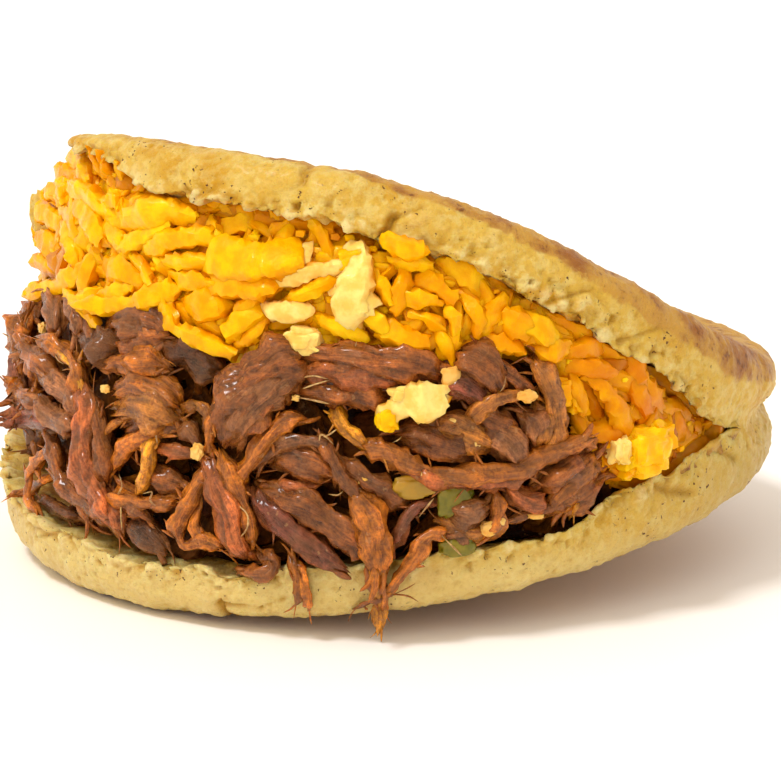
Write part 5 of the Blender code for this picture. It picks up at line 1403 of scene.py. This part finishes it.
def spread(start, end, floor, ceiling, count, seed, lengths, lean, depth):
    """Even places on the front of a filling: three points in a row for each, and the draw."""
    draw = random.Random(seed)
    for i in range(count):
        theta = start + (end - start) * (i + draw.uniform(0.0, 1.0)) / count
        level = (i * 0.618034 + draw.uniform(-0.05, 0.05)) % 1.0
        length = draw.uniform(*lengths)
        turn = math.radians(draw.uniform(-lean, lean))
        rows = []
        for share in (-0.5, 0.0, 0.5):
            angle = theta + math.degrees(share * length * math.cos(turn) / CAKE_RADIUS)
            angle = np.array([min(max(angle, start), end)])
            low = floor(angle)
            high = ceiling(angle)
            gap = np.linalg.norm(wall_point(angle, np.array([1.0]), np.array([0.0]))
                                 - wall_point(angle, np.array([0.0]), np.array([0.0])))
            margin = min(1.6 / max(gap, 1.0), float(high[0] - low[0]) * 0.3)
            rise = low + (high - low) * level + share * length * math.sin(turn) / max(gap, 1.0)
            rise = rise + draw.uniform(-0.03, 0.03)
            rise = np.clip(rise, low + margin, high - margin)
            out = filling_bulge(angle, rise) + draw.uniform(*depth)
            out = out - (0.0 if share == 0.0 else draw.uniform(0.0, 1.2))
            rows.append(wall_point(angle, rise, out)[0])
        yield np.array(rows), draw


def spread_beef(heap, start, end, count, seed, depth, strength):
    """More strands of beef, by a rule, at a depth behind the front of the heap; a strength below 1
    darkens them as painted shade.
    """
    colours = ("brown", "brown", "pink", "orange", "grey", "purple", "brown", "dark", "tan")
    places = spread(start, end, nothing, beef_share, count=count, seed=seed,
                    lengths=(10.0, 24.0), lean=75.0, depth=depth)
    for i, (rows, draw) in enumerate(places):
        width = draw.uniform(2.6, 5.4)
        shade = np.array(BEEF[colours[i * 5 % len(colours)]]) * strength
        meat(heap, rows, width, width * draw.uniform(0.55, 0.8), shade, draw)


def spread_cheese(heap):
    """The rest of the cheese, behind and beside the named shreds."""
    shades = [CHEESE[colour] for colour in ("mid", "deep", "mid", "light", "deep", "mid", "shade")]
    places = spread(CHEESE_START + 1.0, CHEESE_TAIL, cheese_floor, everything, count=430,
                    seed=29, lengths=(7.0, 15.0), lean=85.0, depth=(-1.8, 0.4))
    for i, (rows, draw) in enumerate(places):
        width = draw.uniform(1.6, 3.2)
        thickness = width * draw.uniform(0.5, 0.8)
        shred(heap, rows, width, thickness, shades[i * 3 % len(shades)], draw,
              spacing=0.95, sides=11)
    places = spread(NARROW_END, CHEESE_TAIL + 1.0, cheese_floor, everything, count=70,
                    seed=37, lengths=(4.0, 8.0), lean=85.0, depth=(-1.6, 0.1))
    for i, (rows, draw) in enumerate(places):
        width = draw.uniform(1.4, 2.4)
        shred(heap, rows, width, width * 0.7, shades[i * 3 % len(shades)], draw,
              spacing=0.9, sides=11)
    places = spread(CHEESE_START + 2.0, CHEESE_TAIL - 1.0, cheese_floor, everything, count=150,
                    seed=43, lengths=(1.0, 1.1), lean=85.0, depth=(-0.2, 0.9))
    for i, (rows, draw) in enumerate(places):
        size = draw.uniform(1.0, 2.0)
        lump(heap, rows[1], (size, size * 0.7, size * 0.8), shades[i * 3 % len(shades)],
             i * 3.0, squareness=0.6, detail=1)


def backing(start, end, bottom, top, sunk, tint, rough, seed):
    """The dense inner heap that shows between its loose pieces, as a closed body coloured as
    painted shade.
    """
    front = wall_grid(sunk, start, end, bottom, top, BACKING_COLUMNS, BACKING_ROWS)
    outward = away_from_middle(front.reshape(-1, 3)).reshape(front.shape)
    lumps = rough * (crags(front, 5.5, seed) + 0.5 * crags(front, 2.2, seed + 9.0))
    edge = from_ends(BACKING_ROWS)[:, None] / 3.0
    front = front + outward * (lumps * np.clip(edge, 0.0, 1.0))[..., None]
    theta = np.linspace(start, end, BACKING_COLUMNS)
    low = [gap_point(theta, row, bottom(theta), CLEARANCE) for row in BACKING_DEPTHS]
    high = [gap_point(theta, row, top(theta), -CLEARANCE) for row in BACKING_DEPTHS]
    loops = np.concatenate([low, front, high[::-1]])
    rings = np.moveaxis(loops, 0, 1)[::-1]
    heap = Heap()
    heap.tube(rings, np.array(tint), rings * 0.6 + seed)
    return heap


class Look:
    """A material: makes its nodes, and sets its shader at the end."""

    def __init__(self, name):
        self.finish = bpy.data.materials.new(name)
        self.finish.use_nodes = True
        self.tree = self.finish.node_tree
        self.where = self.node("TexCoord").outputs["Object"]

    def node(self, kind, inputs=(), **settings):
        """A shader node, whose inputs may be numbers, colours or the sockets of others."""
        made = self.tree.nodes.new("ShaderNode" + kind)
        for name, value in settings.items():
            setattr(made, name, value)
        for key, value in inputs:
            if isinstance(value, tuple):
                size = len(made.inputs[key].default_value)
                made.inputs[key].default_value = (*value, 1.0)[:size]
            elif isinstance(value, float):
                made.inputs[key].default_value = value
            else:
                self.tree.links.new(value, made.inputs[key])
        return made

    def noise(self, scale, detail=3.0, roughness=0.55, where=None):
        """A noise texture's value at each place."""
        made = self.node("TexNoise", (("Vector", where or self.where), ("Scale", scale),
                                      ("Detail", detail), ("Roughness", roughness)))
        return made.outputs["Fac"]

    def ramp(self, value, low, high, start=0.0, end=1.0):
        """A smooth step of a value from low to high."""
        made = self.node("MapRange", (("Value", value), ("From Min", low), ("From Max", high),
                                      ("To Min", start), ("To Max", end)),
                         interpolation_type="SMOOTHSTEP")
        return made.outputs["Result"]

    def mix(self, factor, first, second, blend="MIX"):
        """Two colours mixed by a factor."""
        made = self.node("Mix", ((0, factor), (6, first), (7, second)),
                         data_type="RGBA", blend_type=blend)
        return made.outputs[2]

    def product(self, first, second):
        """Two values multiplied."""
        return self.node("Math", ((0, first), (1, second)), operation="MULTIPLY").outputs[0]

    def field(self, name, output="Fac"):
        """A field stored on the mesh."""
        return self.node("Attribute", attribute_name=name).outputs[output]

    def done(self, body, relief, kind, wet=1.0):
        """Set the shader to a colour, a fine relief and a row of the table of shaders."""
        shader = self.tree.nodes["Principled BSDF"]
        *values, strength, distance = SHADERS[kind]
        for name, value in zip(SHADER_INPUTS, values):
            shader.inputs[name].default_value = value * wet if name in WETTED else value
        made = self.node("Bump", (("Strength", strength), ("Distance", distance),
                                  ("Height", relief)))
        self.tree.links.new(made.outputs["Normal"], shader.inputs["Normal"])
        self.tree.links.new(body, shader.inputs["Base Color"])
        return self.finish


def bread_material():
    """Moist yellow corn dough with grains, stains and dark specks, browned on its faces."""
    look = Look("corn_bread")
    blotch = look.ramp(look.noise(85.0, 2.0), 0.46, 0.66)
    body = look.mix(blotch, BREAD["cream"], BREAD["ochre"])
    pale = look.ramp(look.noise(620.0, 4.0, 0.6), 0.44, 0.60)
    pale = look.product(pale, look.ramp(look.noise(130.0, 2.0), 0.35, 0.6, 0.45, 1.0))
    pale = look.product(pale, look.ramp(look.field("crumb"), 0.0, 0.6, 0.6, 0.9))
    body = look.mix(pale, body, BREAD["pale"])
    for name, share in BREAD_FIELDS:
        body = look.mix(look.product(look.field(name), share), body, BREAD[name])
    grain = look.ramp(look.noise(1300.0, 3.0, 0.6), 0.30, 0.52, 0.35, 0.0)
    body = look.mix(grain, body, BREAD["grain"])
    dots = look.ramp(look.noise(1500.0, 2.0, 0.5), 0.645, 0.69)
    crowd = look.ramp(look.noise(210.0, 3.0, 0.6), 0.51, 0.59, 0.10, 1.0)
    body = look.mix(look.product(dots, crowd), body, BREAD["speck"])
    patch = look.ramp(look.noise(130.0, 5.0, 0.65), 0.40, 0.64)
    brown = look.mix(patch, BREAD["toast"], BREAD["dark_toast"])
    scorched = look.ramp(look.noise(520.0, 4.0, 0.7), 0.58, 0.68)
    brown = look.mix(look.product(scorched, 0.8), brown, BREAD["scorch"])
    freckle = look.ramp(look.noise(420.0, 4.0, 0.75), 0.30, 0.62, 0.32, 1.0)
    cover = look.product(look.ramp(look.field("toast"), 0.02, 0.95), freckle)
    body = look.mix(look.ramp(cover, 0.04, 0.54), body, brown)
    body = look.mix(look.ramp(look.field("crack"), 0.15, 1.0, 0.0, 0.7), body, BREAD["crack"])
    return look.done(body, look.noise(800.0, 5.0, 0.72), "bread")


def beef_material(name, wet):
    """Braised meat, with its fibres running along each piece; 1 is wet and 0 is matte."""
    look = Look(name)
    along = look.node("VectorMath", ((0, look.field("grain", "Vector")), (1, FIBRE_STRETCH)),
                      operation="MULTIPLY")
    fibres = look.noise(1.0, 4.0, 0.65, along.outputs["Vector"])
    tint = look.field("tint", "Color")
    dark = look.mix(1.0, tint, (0.48, 0.38, 0.32), "MULTIPLY")
    light = look.mix(1.0, tint, (1.50, 1.58, 1.6), "MULTIPLY")
    specks = look.noise(1300.0, 4.0, 0.7)
    body = look.mix(look.ramp(look.mix(0.55, fibres, specks), 0.36, 0.64), dark, light)
    blotch = look.ramp(look.noise(170.0, 4.0, 0.6), 0.44, 0.62)
    body = look.mix(look.product(blotch, 0.35), body, (0.25, 0.080, 0.014))
    fat = look.ramp(look.noise(620.0, 3.0, 0.6), 0.64, 0.72)
    body = look.mix(look.product(fat, 0.4), body, (0.52, 0.26, 0.09))
    return look.done(body, look.mix(0.5, fibres, specks), "beef", wet)


def cheese_material():
    """Soft grated cheese that lets some light through."""
    look = Look("yellow_cheese")
    tint = look.field("tint", "Color")
    deep = look.mix(1.0, tint, (0.94, 0.82, 0.7), "MULTIPLY")
    light = look.mix(1.0, tint, (1.03, 1.12, 1.5), "MULTIPLY")
    body = look.mix(look.ramp(look.noise(420.0), 0.36, 0.66), deep, light)
    return look.done(body, look.noise(900.0, 4.0, 0.65), "cheese")


def vegetable_material(name, colour, other):
    """Stewed pepper or onion: wet, a little see-through, with a soft change of colour."""
    look = Look(name)
    body = look.mix(look.ramp(look.noise(330.0), 0.35, 0.65), colour, other)
    return look.done(body, look.noise(700.0), "vegetable")


def camera():
    """The photograph's viewing angle and framing."""
    data = bpy.data.cameras.new("camera")
    data.sensor_width = SENSOR
    data.sensor_fit = "HORIZONTAL"
    data.lens = SENSOR * FOCAL_PX / PICTURE
    data.shift_x = (PICTURE / 2.0 - AIM_X) / PICTURE
    data.shift_y = (AIM_Y - PICTURE / 2.0) / PICTURE
    data.clip_start, data.clip_end = CAMERA_CLIP
    made = linked("camera", data)
    made.location = (EYE - SHIFT) * MM
    made.rotation_euler = (math.radians(90.0 - ELEVATION), 0.0, 0.0)
    bpy.context.scene.camera = made


def studio():
    """A pale plain floor, a bright even surround and two soft lights."""
    world = bpy.data.worlds.new("surround")
    world.use_nodes = True
    back = world.node_tree.nodes["Background"]
    back.inputs["Color"].default_value = SURROUND_COLOUR
    back.inputs["Strength"].default_value = SURROUND_STRENGTH
    bpy.context.scene.world = world
    for name, toward, strength, softness, colour in SUNS:
        data = bpy.data.lights.new(name, "SUN")
        data.energy = strength
        data.angle = math.radians(softness)
        data.color = colour
        linked(name, data).rotation_euler = Vector(toward).to_track_quat("-Z", "Y").to_euler()
    half = FLOOR_HALF_WIDTH
    floor_mesh = bpy.data.meshes.new("floor")
    floor_mesh.from_pydata([(-half, -half, 0), (half, -half, 0), (half, half, 0), (-half, half, 0)],
                           [], [(0, 1, 2, 3)])
    pale = bpy.data.materials.new("floor")
    pale.use_nodes = True
    shader = pale.node_tree.nodes["Principled BSDF"]
    shader.inputs["Base Color"].default_value = FLOOR_COLOUR
    shader.inputs["Roughness"].default_value = 0.6
    shader.inputs["Specular IOR Level"].default_value = 0.2
    floor_mesh.materials.append(pale)
    floor = linked("floor", floor_mesh)
    floor.location = (0.0, 0.0, -FLOOR_DROP)
    bpy.context.scene.view_settings.view_transform = "Standard"


def show(piece, slot, node=None):
    """A finished piece rides on the one body, and stands for its CAD node."""
    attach(piece, "root")
    if node is not None:
        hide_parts(node)


def show_heap(heap, name, finish, slot, node=None, crisp=None):
    """The bodies in a heap as one shown piece."""
    show(heap.piece(name, finish, crisp), slot, node)


def show_bread(bread_look):
    """The corn cake, and the means to find places on it in the picture."""
    cake, points, faces = bread_piece(bread_look)
    show(cake, "corn_bread", "arepa")
    return Picture(points, faces)


def show_hearts(deep_look, cheese_look):
    """The dense hearts of the beef and the cheese, behind their loose pieces, coloured as painted
    shade.
    """
    beef = backing(BEEF_START, BEEF_END, nothing, beef_share, **BEEF_HEART)
    show_heap(beef, "beef_heart", deep_look, "braised_beef", "shredded_beef")
    cheese = backing(CHEESE_START, CHEESE_TAIL, cheese_floor, everything, **CHEESE_HEART)
    show_heap(cheese, "cheese_heart", cheese_look, "yellow_cheese", "shredded_cheese")


def show_beef(picture, beef_look, deep_look):
    """The beef: the named strands, the others, and fine threads."""
    front = Heap()
    named_beef(front, picture)
    show_heap(front, "beef_front", beef_look, "braised_beef", "shredded_beef")
    rest = Heap()
    spread_beef(rest, BEEF_START + 1.0, BEEF_FRONT, count=70, seed=17, depth=(-1.9, -0.3),
                strength=1.0)
    show_heap(rest, "beef_rest", beef_look, "braised_beef", "shredded_beef")
    # The deep strands, darkened to a quarter as painted shade
    deep = Heap()
    spread_beef(deep, BEEF_FRONT - 2.0, BEEF_END - 2.0, count=55, seed=19, depth=(-5.2, -3.2),
                strength=0.25)
    show_heap(deep, "beef_deep", deep_look, "braised_beef", "shredded_beef")
    threads = Heap()
    for radius, places in THREADS:
        line = curve_through(picture.line(places), THREAD_POINTS)
        fibre(threads, line, away_from_middle(line), radius, THREAD_COLOUR,
              radius * THREAD_SEED, THREAD_SIDES)
    show_heap(threads, "beef_threads", beef_look, "braised_beef", "shredded_beef")


def show_cheese(picture, cheese_look):
    """The cheese: the named shreds and lumps, the others, and pale bits on the beef."""
    front = Heap()
    draw = random.Random(77)
    for colour, width, thickness, places in CHEESE_PIECES:
        shred(front, picture.line(places), width, thickness, CHEESE[colour], draw)
    for colour, place_in_picture, size, seed in CHEESE_LUMPS:
        lump(front, picture.spot(*place_in_picture), size, CHEESE[colour], seed,
             squareness=0.62, rough=0.3)
    show_heap(front, "cheese_front", cheese_look, "yellow_cheese", "shredded_cheese", CRISP)
    rest = Heap()
    spread_cheese(rest)
    show_heap(rest, "cheese_rest", cheese_look, "yellow_cheese", "shredded_cheese", CRISP)
    bits = Heap()
    for place_in_picture, size, seed in BITS:
        lump(bits, picture.spot(*place_in_picture), size, BIT_COLOUR, seed,
             squareness=0.8, detail=3, rough=0.3)
    show_heap(bits, "pale_bits", cheese_look, "yellow_cheese", crisp=CRISP)


def show_toppings(picture, bread_look, cheese_look):
    """The torn bit of rim, and the crumb, peppers and onion that lie on the beef."""
    torn_rim = Heap()
    lump(torn_rim, picture.spot(47, 214, -0.4), (5.0, 9.0, 5.0), (0.8, 0.6, 0.3), 71.0,
         squareness=0.8, rough=0.25)
    show_heap(torn_rim, "torn_rim", bread_look, "corn_bread")
    crumb = Heap()
    draw = random.Random(3)
    shred(crumb, picture.line(CRUMB_LINE), 5.2, 2.8, CHEESE["pale"], draw, spacing=0.6)
    lump(crumb, picture.spot(388, 420, 2.6), (3.2, 3.4, 2.4), CHEESE["light"], 5.0)
    lump(crumb, picture.spot(404, 394, 3.0), (4.4, 2.2, 2.6), CHEESE["pale"], 8.0)
    show_heap(crumb, "crumb_of_cheese", cheese_look, "yellow_cheese", "cheese_crumb", CRISP)
    looks = {slot: vegetable_material(slot, *colours) for slot, colours in VEGETABLES.items()}
    for name, slot, node, place_in_picture, size, tint, seed in VEGETABLE_PIECES:
        piece = Heap()
        lump(piece, picture.spot(*place_in_picture), size, tint, seed, squareness=0.72,
             rough=0.2)
        show_heap(piece, name, looks[slot], slot, node)


def main():
    """Build the studio and every piece."""
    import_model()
    studio()
    camera()
    bread_look = bread_material()
    beef_look = beef_material("braised_beef", wet=1.0)
    deep_look = beef_material("shaded_beef", wet=0.1)
    cheese_look = cheese_material()
    picture = show_bread(bread_look)
    show_hearts(deep_look, cheese_look)
    show_beef(picture, beef_look, deep_look)
    show_cheese(picture, cheese_look)
    show_toppings(picture, bread_look, cheese_look)


main()
